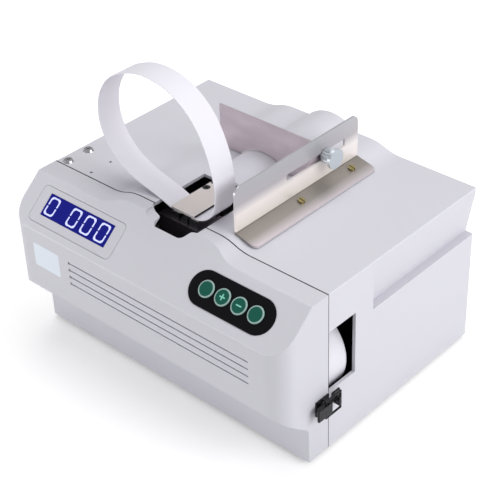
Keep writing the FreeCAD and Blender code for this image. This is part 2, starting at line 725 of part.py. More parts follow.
def key_button(x):
    """Round key with a rim that keeps it behind the panel and a stem over its switch."""
    top = KEYPAD_THICK - KEYPAD_SUNK + KEY_PROUD
    rim_top = -WALL - 0.1
    cap = rod(KEY_RADIUS, (x, KEYPAD_UP, rim_top - KEY_FLANGE_THICK), (x, KEYPAD_UP, top))
    edge = [e for e in cap.Edges if abs(e.CenterOfMass.z - top) < 0.01]
    cap = cap.makeChamfer(0.4, edge)
    rim_low = rim_top - KEY_FLANGE_THICK
    rim = rod(KEY_RADIUS + KEY_FLANGE / 2, (x, KEYPAD_UP, rim_low), (x, KEYPAD_UP, rim_top))
    end = rim_low - KEY_BOARD_GAP + KEY_TRAVEL + 0.2
    stem = rod(KEY_STEM_RADIUS, (x, KEYPAD_UP, end), (x, KEYPAD_UP, rim_top))
    return on_panel(fuse([cap, rim, stem]))


def key_board():
    top = -WALL - 0.1 - KEY_FLANGE_THICK - KEY_BOARD_GAP - 0.3
    low = top - KEY_BOARD_THICK
    board = plate(KEYPAD_WIDTH, KEYPAD_HEIGHT, KEY_BOARD_THICK, 1.0, KEYPAD_X, KEYPAD_UP, low)
    posts = []
    for side in (-1, 1):
        x = KEYPAD_X + side * (KEYPAD_WIDTH / 2 - 2.2)
        posts.append(rod(1.8, (x, KEYPAD_UP, top), (x, KEYPAD_UP, -WALL)))
    return on_panel(fuse([board] + posts))


# Paper roll and feed


def reel_stand():
    """Folded bracket and fixed spindle that carry the paper roll."""
    back = BAND_BACK_Y + REEL_FLANGE + 1.5
    upright = box(ROLL_X - 16, ROLL_X + 16, back, back + PLATE_THICK, FLOOR_TOP, ROLL_Z + 12)
    foot = box(ROLL_X - 16, ROLL_X + 16, back, back + 24, FLOOR_TOP, FLOOR_TOP + PLATE_THICK)
    spindle = rod(SPINDLE_RADIUS, (ROLL_X, BAND_FRONT_Y - 2.6, ROLL_Z), (ROLL_X, back + 1, ROLL_Z))
    return fuse([upright, foot, spindle])


def roll_bore(radius):
    return rod(radius, (ROLL_X, BAND_FRONT_Y - 9, ROLL_Z), (ROLL_X, BAND_BACK_Y + 9, ROLL_Z))


def reel_hub():
    core = rod(CORE_RADIUS, (ROLL_X, BAND_FRONT_Y - 1.2, ROLL_Z), (ROLL_X, BAND_BACK_Y, ROLL_Z))
    flange_back = BAND_BACK_Y + REEL_FLANGE
    flange = rod(ROLL_RADIUS - 6, (ROLL_X, BAND_BACK_Y, ROLL_Z), (ROLL_X, flange_back, ROLL_Z))
    hub = core.fuse(flange).cut(roll_bore(SPINDLE_RADIUS + RUNNING_CLEAR))
    for n in range(6):
        angle = math.radians(60 * n + 30)
        x = ROLL_X + 22 * math.cos(angle)
        z = ROLL_Z + 22 * math.sin(angle)
        hub = hub.cut(rod(4, (x, BAND_BACK_Y - 1, z), (x, BAND_BACK_Y + 9, z)))
    return hub


def paper_roll():
    roll = rod(ROLL_RADIUS, (ROLL_X, BAND_FRONT_Y, ROLL_Z), (ROLL_X, BAND_BACK_Y - 0.05, ROLL_Z))
    return roll.cut(roll_bore(CORE_RADIUS + 0.05))


def feed_bracket():
    """Two cheeks that carry the feed rollers, joined under them."""
    cheeks = []
    for y in (BAND_FRONT_Y - 2.0 - PLATE_THICK, BAND_BACK_Y + 2.0):
        cheek = box(FEED_X - 10, FEED_X + 10, y, y + PLATE_THICK, FLOOR_TOP, PINCH_Z + 8)
        cheeks.append(cheek)
    floor = box(
        FEED_X - 10, FEED_X + 10, BAND_FRONT_Y - 2.0, BAND_BACK_Y + 2.0, FLOOR_TOP, FLOOR_TOP + PLATE_THICK
    )
    bracket = fuse(cheeks + [floor])
    for z in (FEED_Z, PINCH_Z):
        hole = rod(3.0 + RUNNING_CLEAR, (FEED_X, SEAM_Y - 9, z), (FEED_X, BACK_Y, z))
        bracket = bracket.cut(hole)
    return bracket


def roller(radius, z, back):
    """Roller with its axle, which runs in the two cheeks."""
    sleeve = rod(radius, (FEED_X, BAND_FRONT_Y + 0.5, z), (FEED_X, BAND_BACK_Y - 0.5, z))
    axle = rod(3.0, (FEED_X, BAND_FRONT_Y - 2.0 - PLATE_THICK, z), (FEED_X, back, z))
    return sleeve.fuse(axle).removeSplitter()


def feed_motor():
    front = BAND_BACK_Y + 2.0 + PLATE_THICK
    can = rod(FEED_MOTOR_RADIUS, (FEED_X, front, FEED_Z), (FEED_X, front + FEED_MOTOR_LENGTH, FEED_Z))
    return can.cut(rod(3.0 + RUNNING_CLEAR, (FEED_X, front - 1, FEED_Z), (FEED_X, front + 10, FEED_Z)))


def band_feed():
    """Band that leaves the top of the roll, runs through the rollers and enters the head."""
    half = FEED_THICK / 2
    lift = ROLL_Z + ROLL_RADIUS + 0.3
    path = [(ROLL_X - 2, lift), (ROLL_X - 24, lift + 3), (FEED_X + 9, NIP_Z), (PLATE_RIGHT - 3, NIP_Z)]
    top = [(x, z + half) for x, z in path]
    bottom = [(x, z - half) for x, z in path[::-1]]
    return prism("y", top + bottom, BAND_FRONT_Y + 0.5, BAND_BACK_Y - 0.5)


def feed_guide():
    """Two sheet guides that lead the band from the rollers to the head's side plate."""
    back = BAND_BACK_Y + 2.0
    left = PLATE_RIGHT + PLATE_THICK
    right = FEED_X - FEED_ROLLER_RADIUS
    low = box(left, right, BAND_FRONT_Y, back, NIP_Z - 1.4, NIP_Z - 0.4)
    high = box(left, right, BAND_FRONT_Y, back, NIP_Z + 0.4, NIP_Z + 1.4)
    spine = box(left, right - 1, BAND_BACK_Y + 0.4, back, NIP_Z - 1.4, NIP_Z + 1.4)
    return fuse([low, high, spine])


# Strapping head


def press_x(n):
    return TONGUE_X + (n - 1) * PRESS_PITCH


def head_frame():
    """Two side plates and the slotted guide block that keeps the press blocks upright."""
    front, back = BAND_FRONT_Y - 1.0, ROD_BACK_Y
    cheeks = [
        box(x, x + PLATE_THICK, front, back, FLOOR_TOP, GUIDE_TOP) for x in (PLATE_LEFT, PLATE_RIGHT)
    ]
    rod_top = ROD_Z + ROD_RADIUS + 2.0
    lip = CAM_Y + PRESS_DEPTH / 2 + 1.0
    guide = box(PLATE_LEFT, PLATE_RIGHT + 1, front, lip + 3.0, GUIDE_BOTTOM, GUIDE_TOP)
    rail = box(PLATE_LEFT + 9, PLATE_RIGHT - 9, lip, lip + 3.0, GUIDE_BOTTOM, rod_top)
    rear = box(PLATE_LEFT, PLATE_RIGHT + 1, back - PLATE_THICK, back, GUIDE_BOTTOM, rod_top)
    frame = fuse(cheeks + [guide, rail, rear])
    frame = frame.cut(
        box(PLATE_LEFT - 1, PLATE_RIGHT + 9, BAND_BACK_Y + 12, back - 12, FLOOR_TOP + 12, CAM_Z - 24)
    )
    deep = PRESS_DEPTH / 2 + PRESS_CLEAR
    for n in range(3):
        x = press_x(n)
        wide = PRESS_WIDTH / 2 + PRESS_CLEAR
        way = box(x - wide, x + wide, CAM_Y - deep, CAM_Y + deep, GUIDE_BOTTOM - 1, GUIDE_TOP + 1)
        frame = frame.cut(way)
    throat = box(PLATE_RIGHT - 4, PLATE_RIGHT + 9, BAND_FRONT_Y, BAND_BACK_Y, NIP_Z - 0.8, NIP_Z + 0.8)
    frame = frame.cut(throat)
    bush = CAMSHAFT_RADIUS + BUSH_WALL
    frame = frame.cut(rod(bush, (PLATE_LEFT - 9, CAM_Y, CAM_Z), (PLATE_RIGHT + 9, CAM_Y, CAM_Z)))
    for side in (-1, 1):
        x = TONGUE_X + side * ROD_SPREAD / 2
        frame = frame.cut(rod(ROD_RADIUS, (x, lip - 1, ROD_Z), (x, back + 1, ROD_Z)))
    return frame


def camshaft_bushes():
    bushes = []
    for x, side in ((PLATE_LEFT, -1), (PLATE_RIGHT, 1)):
        outer = CAMSHAFT_RADIUS + BUSH_WALL
        sleeve = rod(outer, (x, CAM_Y, CAM_Z), (x + PLATE_THICK, CAM_Y, CAM_Z))
        face = x + PLATE_THICK if side > 0 else x - 1.0
        flange = rod(outer + BUSH_FLANGE, (face, CAM_Y, CAM_Z), (face + 1.0, CAM_Y, CAM_Z))
        bore = rod(CAMSHAFT_RADIUS + RUNNING_CLEAR, (x - 9, CAM_Y, CAM_Z), (x + 9, CAM_Y, CAM_Z))
        bushes.append(sleeve.fuse(flange).cut(bore))
    return Part.makeCompound(bushes)


def press_block(n, tip):
    """Upright block that a cam lifts against the tongue; tip shapes its working face."""
    x = press_x(n)
    wide, deep = PRESS_WIDTH / 2, PRESS_DEPTH / 2
    block = box(x - wide, x + wide, CAM_Y - deep, CAM_Y + deep, PRESS_FOOT, PRESS_REST_TOP)
    window = box(x - wide - 1, x + wide + 1, CAM_Y - 5, CAM_Y + 5, PRESS_FOOT + 4, GUIDE_BOTTOM - 2)
    block = block.cut(window)
    top = PRESS_REST_TOP
    if tip == "serrated":
        for k in range(4):
            y = CAM_Y - 7.5 + 5 * k
            notch = [(y - 0.8, top + 0.1), (y + 0.8, top + 0.1), (y, top - 0.9)]
            block = block.cut(prism("x", notch, x - wide - 1, x + wide + 1))
    if tip == "knife":
        slope = [(x - wide, top + 1), (x - wide, top - 3), (x - 0.6, top + 0.01), (x - 0.6, top + 1)]
        block = block.cut(prism("y", slope, CAM_Y - deep - 1, CAM_Y + deep + 1))
    return block


def camshaft():
    """Shaft with three lobed cams, set a third of a turn apart."""
    shaft = rod(CAMSHAFT_RADIUS, (GEAR_X - 1, CAM_Y, CAM_Z), (PLATE_RIGHT + PLATE_THICK + 2, CAM_Y, CAM_Z))
    solids = [shaft]
    base = CAM_RADIUS - CAM_LIFT
    for n in range(3):
        x = press_x(n) - CAM_THICK / 2
        angle = math.radians(120 * n + 30)
        nose = CAM_RADIUS - base / 2
        ny, nz = CAM_Y + (nose - base / 2) * math.cos(angle), CAM_Z + (nose - base / 2) * math.sin(angle)
        disc = rod(base, (x, CAM_Y, CAM_Z), (x + CAM_THICK, CAM_Y, CAM_Z))
        lobe = rod(base / 2, (x, ny, nz), (x + CAM_THICK, ny, nz))
        solids += [disc, lobe]
    return fuse(solids)


def gear_blank(teeth, x, y, z, start, bore):
    """Spur gear across X, with straight-sided teeth, the first at the start angle."""
    pitch_radius = GEAR_MODULE * teeth / 2
    tip, root = pitch_radius + 0.85 * GEAR_MODULE, pitch_radius - 1.15 * GEAR_MODULE
    step = 2 * math.pi / teeth
    points = []
    for n in range(teeth):
        middle = start + n * step
        for radius, share in ((root, -0.30), (tip, -0.11), (tip, 0.11), (root, 0.30)):
            angle = middle + share * step
            points.append((y + radius * math.cos(angle), z + radius * math.sin(angle)))
    wheel = prism("x", points, x, x + GEAR_WIDTH)
    return wheel.cut(rod(bore, (x - 1, y, z), (x + GEAR_WIDTH + 1, y, z)))


def cam_gear():
    wheel = gear_blank(GEAR_TEETH, GEAR_X, CAM_Y, CAM_Z, 0.0, CAMSHAFT_RADIUS)
    for n in range(5):
        angle = math.radians(72 * n)
        y, z = CAM_Y + 14 * math.cos(angle), CAM_Z + 14 * math.sin(angle)
        wheel = wheel.cut(rod(4.5, (GEAR_X - 1, y, z), (GEAR_X + GEAR_WIDTH + 1, y, z)))
    return wheel


def motor_pinion():
    half_tooth = math.pi / PINION_TEETH
    pinion = gear_blank(PINION_TEETH, GEAR_X, MOTOR_Y, CAM_Z, math.pi + half_tooth, 2.5)
    shaft = rod(2.5, (MOTOR_PLATE_X - 9, MOTOR_Y, CAM_Z), (GEAR_X + GEAR_WIDTH + 1, MOTOR_Y, CAM_Z))
    return pinion.fuse(shaft)


def motor_stand():
    front, back = MOTOR_Y - MOTOR_RADIUS, MOTOR_Y + MOTOR_RADIUS
    top = CAM_Z + MOTOR_RADIUS + 3
    upright = box(MOTOR_PLATE_X, MOTOR_PLATE_X + PLATE_THICK, front, back, FLOOR_TOP, top)
    right = MOTOR_PLATE_X + PLATE_THICK
    foot = box(MOTOR_PLATE_X - 24, right, front, back, FLOOR_TOP, FLOOR_TOP + PLATE_THICK)
    hole = rod(5, (MOTOR_PLATE_X - 1, MOTOR_Y, CAM_Z), (MOTOR_PLATE_X + 9, MOTOR_Y, CAM_Z))
    return upright.fuse(foot).cut(hole).removeSplitter()


def drive_motor():
    face = MOTOR_PLATE_X
    end = face - MOTOR_LENGTH
    can = rod(MOTOR_RADIUS, (end, MOTOR_Y, CAM_Z), (face, MOTOR_Y, CAM_Z))
    cap = rod(MOTOR_RADIUS - 4, (end - 6, MOTOR_Y, CAM_Z), (end, MOTOR_Y, CAM_Z))
    bore = rod(2.5 + RUNNING_CLEAR, (face - 12, MOTOR_Y, CAM_Z), (face + 1, MOTOR_Y, CAM_Z))
    return can.fuse(cap).cut(bore)


def tongue_plate():
    """Thin tongue that the band closes round; it slides back to let the bundle go."""
    half = TONGUE_WIDTH / 2
    points = [
        (TONGUE_X - half, TONGUE_FRONT_Y),
        (TONGUE_X + half, TONGUE_FRONT_Y),
        (TONGUE_X + half, TONGUE_BACK_Y),
        (TONGUE_X - half, TONGUE_BACK_Y),
    ]
    tongue = prism("z", points, TONGUE_BOTTOM, TONGUE_TOP, [1.0, 1.0, 0, 0])
    for x, y in tongue_screw_places():
        sink = Part.makeCone(1.6, 3.0, TONGUE_THICK, V(x, y, TONGUE_BOTTOM))
        tongue = tongue.cut(sink)
    return tongue


def tongue_carriage():
    half = TONGUE_WIDTH / 2
    front = TONGUE_BACK_Y - CARRIAGE_LENGTH
    low = TONGUE_BOTTOM - CARRIAGE_HEIGHT
    block = box(TONGUE_X - half, TONGUE_X + half, front, TONGUE_BACK_Y, low, TONGUE_BOTTOM)
    bore = ROD_RADIUS + RUNNING_CLEAR
    for side in (-1, 1):
        x = TONGUE_X + side * ROD_SPREAD / 2
        block = block.cut(rod(bore, (x, front - 1, ROD_Z), (x, TONGUE_BACK_Y + 1, ROD_Z)))
    for x, y in tongue_screw_places():
        block = block.cut(rod(1.6, (x, y, TONGUE_BOTTOM - 5), (x, y, TONGUE_BOTTOM + 1)))
    return block


def tongue_screws():
    screws = []
    for x, y in tongue_screw_places():
        head = Part.makeCone(1.6, 3.0, TONGUE_THICK, V(x, y, TONGUE_BOTTOM))
        hexagon = prism("z", round_points([1.3] * 6, x, y), TONGUE_TOP - 0.8, TONGUE_TOP + 1)
        shank = rod(1.6, (x, y, TONGUE_BOTTOM - 4.5), (x, y, TONGUE_BOTTOM))
        screws.append(head.cut(hexagon).fuse(shank))
    return Part.makeCompound(screws)


def guide_rods():
    start = CAM_Y + PRESS_DEPTH / 2 + 1.0
    rods = []
    for side in (-1, 1):
        x = TONGUE_X + side * ROD_SPREAD / 2
        rods.append(rod(ROD_RADIUS, (x, start, ROD_Z), (x, ROD_BACK_Y, ROD_Z)))
    return Part.makeCompound(rods)


def band_loop():
    """Open loop of paper band that stands over the head, ready for a bundle."""
    low = BAND_Z + BAND_THICK
    half = TONGUE_WIDTH / 2
    inner = [
        (TONGUE_X - half - 1, low),
        (TONGUE_X + half + 7, low),
        (25.5, low + 10),
        (28.3, low + 27),
        (24, low + 52),
        (11.5, low + 77),
        (-9, low + 92.5),
        (-38, low + 97),
        (-68, low + 85),
        (-82, low + 64),
        (-82.5, low + 40),
        (-70.5, low + 21),
        (-52, low + 10.2),
        (-28, low + 4.4),
    ]
    bends = flowing_radii(inner, [6.0])
    outer = inset(inner, -BAND_THICK)
    inner_wire = outline(inner, bends, in_plane("y", BAND_FRONT_Y))
    outer_wire = outline(outer, [r + BAND_THICK for r in bends], in_plane("y", BAND_FRONT_Y))
    rim = Part.Face(outer_wire).cut(Part.Face(inner_wire))
    return rim.extrude(V(0, BAND_WIDTH, 0))


def flowing_radii(points, fixed):
    """Corner radii whose arcs almost meet half way along the sides, after the fixed ones."""
    radii = list(fixed)
    count = len(points)
    for i in range(len(fixed), count):
        corner = V(*points[i], 0)
        before = V(*points[i - 1], 0) - corner
        after = V(*points[(i + 1) % count], 0) - corner
        reach = 0.49 * min(before.Length, after.Length)
        radii.append(reach * math.tan(before.getAngle(after) / 2))
    return radii


# Banknote fence


def fence_bracket():
    """Angle bracket: a tall slotted wall and a flange that follows the casing's flank."""
    corner = FENCE_CORNER
    foot = hump_z(FENCE_X) + 0.3
    wall_points = [
        (FENCE_FRONT_Y, foot),
        (FENCE_BACK_Y, foot),
        (FENCE_BACK_Y, FENCE_TOP),
        (FENCE_FRONT_Y, FENCE_TOP),
    ]
    wall = prism("x", wall_points, FENCE_X, FENCE_X + FENCE_THICK, [0, 0, corner, corner])
    half = SLOT_HEIGHT / 2
    slot_points = [
        (SLOT_FRONT_Y, SLOT_Z - half),
        (SLOT_BACK_Y, SLOT_Z - half),
        (SLOT_BACK_Y, SLOT_Z + half),
        (SLOT_FRONT_Y, SLOT_Z + half),
    ]
    slot = prism("x", slot_points, FENCE_X - 1, FENCE_X + FENCE_THICK + 1, [0.6] * 4)
    outer = FENCE_X + FENCE_FLANGE
    fall = outer_flange_z()
    flange_points = [
        (FENCE_X, foot),
        (outer, fall),
        (outer, fall + FENCE_THICK),
        (FENCE_X, foot + FENCE_THICK),
    ]
    flange = prism("y", flange_points, FENCE_FRONT_Y, FENCE_BACK_Y)
    plan = [
        (FENCE_X, FENCE_FRONT_Y),
        (outer, FENCE_FRONT_Y),
        (outer, FENCE_BACK_Y),
        (FENCE_X, FENCE_BACK_Y),
    ]
    flange = flange.common(prism("z", plan, 0, FENCE_TOP, [0, FLANGE_CORNER, FLANGE_CORNER, 0]))
    bracket = wall.cut(slot).fuse(flange)
    hole = rod(FENCE_SCREW_RADIUS + 0.1, (0, 0, -9), (0, 0, 9))
    for x, y in fence_screw_places():
        bracket = bracket.cut(square_to_flange(hole, x, y))
    return bracket.removeSplitter()


def outer_flange_z():
    return hump_z(FENCE_X + FENCE_FLANGE) + 0.5


def square_to_flange(shape, x, y):
    """Puts a shape built along +Z on the flange's sloping upper face at x, y."""
    run, fall = FENCE_FLANGE, hump_z(FENCE_X) + 0.3 - outer_flange_z()
    level = hump_z(FENCE_X) + 0.3 + FENCE_THICK - fall * (x - FENCE_X) / run
    lean = math.degrees(math.atan2(fall, run))
    moved = shape.copy()
    moved.Placement = FreeCAD.Placement(V(x, y, level), FreeCAD.Rotation(V(0, 1, 0), lean))
    return moved


def hump_z(x):
    """Height of the casing's top at x on the right-hand flank."""
    radius = (HUMP_FLANK**2 + HUMP_HEIGHT**2) / (4 * HUMP_HEIGHT)
    reach = HUMP_RIGHT - x
    if reach <= 0:
        return CASE_HEIGHT
    if reach <= HUMP_FLANK / 2:
        return CASE_HEIGHT + radius - math.sqrt(radius**2 - reach**2)
    if reach <= HUMP_FLANK:
        return HUMP_TOP - radius + math.sqrt(radius**2 - (HUMP_FLANK - reach) ** 2)
    return HUMP_TOP


def fence_screws():
    screws = []
    for x, y in fence_screw_places():
        head = rod(FENCE_HEAD_RADIUS, (0, 0, 0.02), (0, 0, FENCE_HEAD_HEIGHT))
        head = head.cut(box(-4, 4, -0.4, 0.4, FENCE_HEAD_HEIGHT - 0.8, FENCE_HEAD_HEIGHT + 1))
        shank = rod(FENCE_SCREW_RADIUS, (0, 0, -10), (0, 0, 1))
        screws.append(square_to_flange(head.fuse(shank), x, y))
    return Part.makeCompound(screws)


def stop_plate():
    """Cross plate that the banknotes' long edge rests on, with the tab that clamps to the fence."""
    right = FENCE_X - 0.3
    floor = HUMP_TOP + STOP_CLEAR
    face = box(STOP_LEFT, right, STOP_Y, STOP_Y + STOP_THICK, floor, FENCE_TOP)
    arch = rod(
        RIDGE_RADIUS + STOP_CLEAR, (RIDGE_X, STOP_Y - 1, RIDGE_Z), (RIDGE_X, STOP_Y + 9, RIDGE_Z)
    )
    tab = box(right - STOP_THICK, right, STOP_Y, CLAMP_Y + 8, SLOT_Z - 7, SLOT_Z + 7)
    bore = CLAMP_SHANK_RADIUS + RUNNING_CLEAR
    hole = rod(bore, (right - 9, CLAMP_Y, SLOT_Z), (right + 1, CLAMP_Y, SLOT_Z))
    return face.cut(arch).fuse(tab).cut(hole).removeSplitter()


def clamp_screw():
    """Thumb screw through the fence's slot: a flat disc on a knurled neck, with a nut behind the tab."""
    start = FENCE_X + FENCE_THICK + 0.3
    head_start = start + CLAMP_NECK
    radii = [CLAMP_NECK_RADIUS, CLAMP_NECK_RADIUS - 0.6] * CLAMP_KNURLS
    neck = prism("x", round_points(radii, CLAMP_Y, SLOT_Z), start, head_start)
    head_end = head_start + CLAMP_HEAD_THICK
    head = rod(CLAMP_HEAD_RADIUS, (head_start, CLAMP_Y, SLOT_Z), (head_end, CLAMP_Y, SLOT_Z))
    behind = FENCE_X - 0.3 - STOP_THICK
    shank = rod(CLAMP_SHANK_RADIUS, (behind - 7, CLAMP_Y, SLOT_Z), (start + 1, CLAMP_Y, SLOT_Z))
    nut = prism("x", round_points([CLAMP_NUT_RADIUS] * 6, CLAMP_Y, SLOT_Z), behind - 4.3, behind - 0.3)
    return fuse([head, neck, shank, nut])


# Toggle latch


def latch_base():
    """Plate with two ears on the housing's side, which carry the lever's pin."""
    half = LEVER_WIDTH / 2 + 0.3
    top, low = LATCH_Z + half + LATCH_PLATE_THICK, LATCH_Z - half - LATCH_PLATE_THICK
    back = SEAM_Y - 1.0
    front = back - LEVER_LENGTH
    flat = box(HALF, HALF + LATCH_PLATE_THICK, front, back, low, top)
    ears = []
    tip = PIVOT_X + 1.6
    shape = [(HALF, PIVOT_Y - 2), (tip, PIVOT_Y - 2), (tip, PIVOT_Y + 2), (HALF, PIVOT_Y + 2)]
    for z in (low, top - LATCH_PLATE_THICK):
        ears.append(prism("z", shape, z, z + LATCH_PLATE_THICK, [0, 1.4, 1.4, 0]))
    bore = LATCH_PIN_RADIUS + RUNNING_CLEAR
    return fuse([flat] + ears).cut(rod(bore, (PIVOT_X, PIVOT_Y, low - 1), (PIVOT_X, PIVOT_Y, top + 1)))


def latch_lever():
    """Lever that folds flat on its base, with the pin that it turns on."""
    half = LEVER_WIDTH / 2
    front = PIVOT_Y - LEVER_LENGTH + 3
    blade = [
        (PIVOT_X - 1.6, PIVOT_Y + 2.0),
        (PIVOT_X - 1.6, front),
        (PIVOT_X + 0.8, front - 2.5),
        (PIVOT_X + LEVER_THICK, front - 2.5),
        (PIVOT_X + LEVER_THICK, PIVOT_Y + 2.0),
    ]
    arm = prism("z", blade, LATCH_Z - half, LATCH_Z + half, [0.8, 0.8, 0, 0.8, 0.8])
    reach = half + 0.3 + LATCH_PLATE_THICK
    pin = rod(LATCH_PIN_RADIUS, (PIVOT_X, PIVOT_Y, LATCH_Z - reach), (PIVOT_X, PIVOT_Y, LATCH_Z + reach))
    low, high = LATCH_Z - half - 1, LATCH_Z + half + 1
    groove = rod(BAIL_WIRE + RUNNING_CLEAR, (BAIL_X, BAIL_START_Y, low), (BAIL_X, BAIL_START_Y, high))
    return arm.fuse(pin).cut(groove).removeSplitter()


def latch_bail():
    """Closed wire loop from the lever's cross hole to the keeper's lip."""
    side = LEVER_WIDTH / 2 + 0.3 + LATCH_PLATE_THICK + 0.3 + BAIL_WIRE
    low, high = LATCH_Z - side, LATCH_Z + side
    bars = []
    for y in (BAIL_START_Y, BAIL_END_Y):
        bars.append(rod(BAIL_WIRE, (BAIL_X, y, low), (BAIL_X, y, high)))
        bars.append(Part.makeSphere(BAIL_WIRE, V(BAIL_X, y, low)))
        bars.append(Part.makeSphere(BAIL_WIRE, V(BAIL_X, y, high)))
    for z in (low, high):
        bars.append(rod(BAIL_WIRE, (BAIL_X, BAIL_START_Y, z), (BAIL_X, BAIL_END_Y, z)))
    return fuse(bars)


def latch_keeper():
    """Plate with an upright lip on the cover's side, which the bail hooks over."""
    lip_back = BAIL_END_Y - BAIL_WIRE - 0.5
    lip_front = lip_back - 1.5
    half = LEVER_WIDTH / 2 - 0.8
    low, high = LATCH_Z - half, LATCH_Z + half
    flat = box(HALF, HALF + LATCH_PLATE_THICK, lip_front, BAIL_END_Y + 5, low, high)
    lip = box(HALF, PIVOT_X + 2.2, lip_front, lip_back, low, high)
    return flat.fuse(lip).removeSplitter()


# Rear panel and electrics


def block(x, half_width, front, back, half_height):
    """Box on the rear panel's row of fittings, centred on x and on the row's height."""
    return box(x - half_width, x + half_width, front, back, INLET_Z - half_height, INLET_Z + half_height)


def inlet_cutout():
    half_width, half_height = INLET_WIDTH / 2 + PANEL_CLEAR, INLET_HEIGHT / 2 + PANEL_CLEAR
    return block(INLET_X, half_width, BACK_Y - INLET_DEPTH, BACK_Y + 1, half_height)


def mains_inlet():
    """Mains inlet: a flanged cup with three flat pins."""
    w, h = INLET_WIDTH / 2, INLET_HEIGHT / 2
    cup = block(INLET_X, w, BACK_Y - INLET_DEPTH, BACK_Y + 0.5, h)
    rim = block(INLET_X, w + PANEL_LIP + INLET_EAR, BACK_Y + 0.05, BACK_Y + PANEL_LIP, h + PANEL_LIP)
    floor = BACK_Y - INLET_DEPTH + 2 * INLET_SKIN
    hollow = block(INLET_X, w - INLET_SKIN, floor, BACK_Y + 5, h - INLET_SKIN)
    pins = []
    for dx, dz in ((-7, -2.5), (0, 2.5), (7, -2.5)):
        x, z = INLET_X + dx, INLET_Z + dz
        low, high = z - PIN_HEIGHT / 2, z + PIN_HEIGHT / 2
        pins.append(box(x - PIN_WIDTH / 2, x + PIN_WIDTH / 2, floor - 1, BACK_Y - 4, low, high))
    return fuse([cup, rim]).cut(hollow).multiFuse(pins).removeSplitter()


def switch_cutout():
    half_width, half_height = SWITCH_WIDTH / 2 + PANEL_CLEAR, SWITCH_HEIGHT / 2 + PANEL_CLEAR
    return block(SWITCH_X, half_width, BACK_Y - SWITCH_DEPTH, BACK_Y + 1, half_height)


def switch_housing():
    """Rocker switch housing in the rear wall."""
    w, h = SWITCH_WIDTH / 2, SWITCH_HEIGHT / 2
    case = block(SWITCH_X, w, BACK_Y - SWITCH_DEPTH, BACK_Y + 0.5, h)
    rim = block(SWITCH_X, w + SWITCH_SKIN, BACK_Y + 0.05, BACK_Y + 1.6, h + SWITCH_SKIN)
    pit = block(SWITCH_X, w - SWITCH_SKIN, BACK_Y - 7, BACK_Y + 5, h - SWITCH_SKIN)
    return fuse([case, rim]).cut(pit)


def switch_rocker():
    """Two-faced rocker on its own axle line, pressed in at the top when off."""
    w, h = SWITCH_WIDTH / 2 - 1.9, SWITCH_HEIGHT / 2 - 1.9
    y = BACK_Y - 2.0
    faces = [
        (y - 3.0, INLET_Z - h + 1.5),
        (y - 3.0, INLET_Z + h - 1.5),
        (y + 1.0, INLET_Z + h - 0.8),
        (y + 3.0, INLET_Z),
        (y + 5.0, INLET_Z - h + 1.2),
    ]
    return prism("x", faces, SWITCH_X - w, SWITCH_X + w)


def control_board():
    left, back = BOARD_FROM_SIDE - HALF, BACK_Y - BOARD_FROM_BACK
    right, front = left + BOARD_WIDTH, back - BOARD_DEPTH
    low = FLOOR_TOP + BOARD_LIFT
    top = low + BOARD_THICK
    parts = [box(left, right, front, back, low, top)]
    for x in (left + BOARD_EDGE, right - BOARD_EDGE):
        for y in (front + BOARD_EDGE, back - BOARD_EDGE):
            parts.append(rod(2.5, (x, y, FLOOR_TOP), (x, y, low + 0.5)))
    for n in range(3):
        x = left + 2 * BOARD_EDGE + RELAY_PITCH * n
        y = front + 6.0
        parts.append(box(x, x + RELAY_LENGTH, y, y + RELAY_WIDTH, top - 0.6, top - 0.6 + RELAY_HEIGHT))
    for n in range(2):
        x, y = left + 18.0 + CAPACITOR_PITCH * n, back - 14.0
        parts.append(rod(CAPACITOR_RADIUS, (x, y, top - 0.6), (x, y, top - 0.6 + CAPACITOR_HEIGHT)))
    return fuse(parts)


def transformer():
    x = HALF - TRANSFORMER_FROM_SIDE
    y = BACK_Y - TRANSFORMER_FROM_BACK
    low, high = FLOOR_TOP + FOOT_PLATE, FLOOR_TOP + FOOT_PLATE + CORE_HEIGHT
    half, deep = CORE_WIDTH / 2, CORE_DEPTH / 2
    core = box(x - half, x + half, y - deep, y + deep, low, high)
    half, deep = half - WINDING_INSET, deep + WINDING_PROUD
    winding = box(x - half, x + half, y - deep, y + deep, low + 9.0, high - 9.0)
    half, deep = CORE_WIDTH / 2 + FOOT_REACH, FOOT_DEPTH / 2
    feet = box(x - half, x + half, y - deep, y + deep, FLOOR_TOP, low)
    return fuse([core, winding, feet])


# Places of what repeats


def key_places():
    return [KEYPAD_X + KEY_PITCH * (n - (KEY_COUNT - 1) / 2) for n in range(KEY_COUNT)]


def fence_screw_places():
    x = FENCE_X + 8.0
    return [(x, FENCE_MIDDLE_Y - 5.5), (x, FENCE_MIDDLE_Y + 50.0)]


def cover_screw_places():
    return [(COVER_SCREW_X, SEAM_Y + 5.0), (COVER_SCREW_X, SEAM_Y + 25.0)]


def pin_hole_places():
    return [(PIN_HOLE_X, SEAM_Y + 5.0), (PIN_HOLE_X, SEAM_Y + 24.0)]


def tongue_screw_places():
    return [(TONGUE_X + sx * 8.5, TONGUE_BACK_Y - dy) for sx in (-1, 1) for dy in (4.5, 13.5)]


def foot_places():
    x, y = HALF - FOOT_FROM_SIDE, BACK_Y - FOOT_FROM_FRONT
    return [(sx * x, sy * y) for sx in (-1, 1) for sy in (-1, 1)]


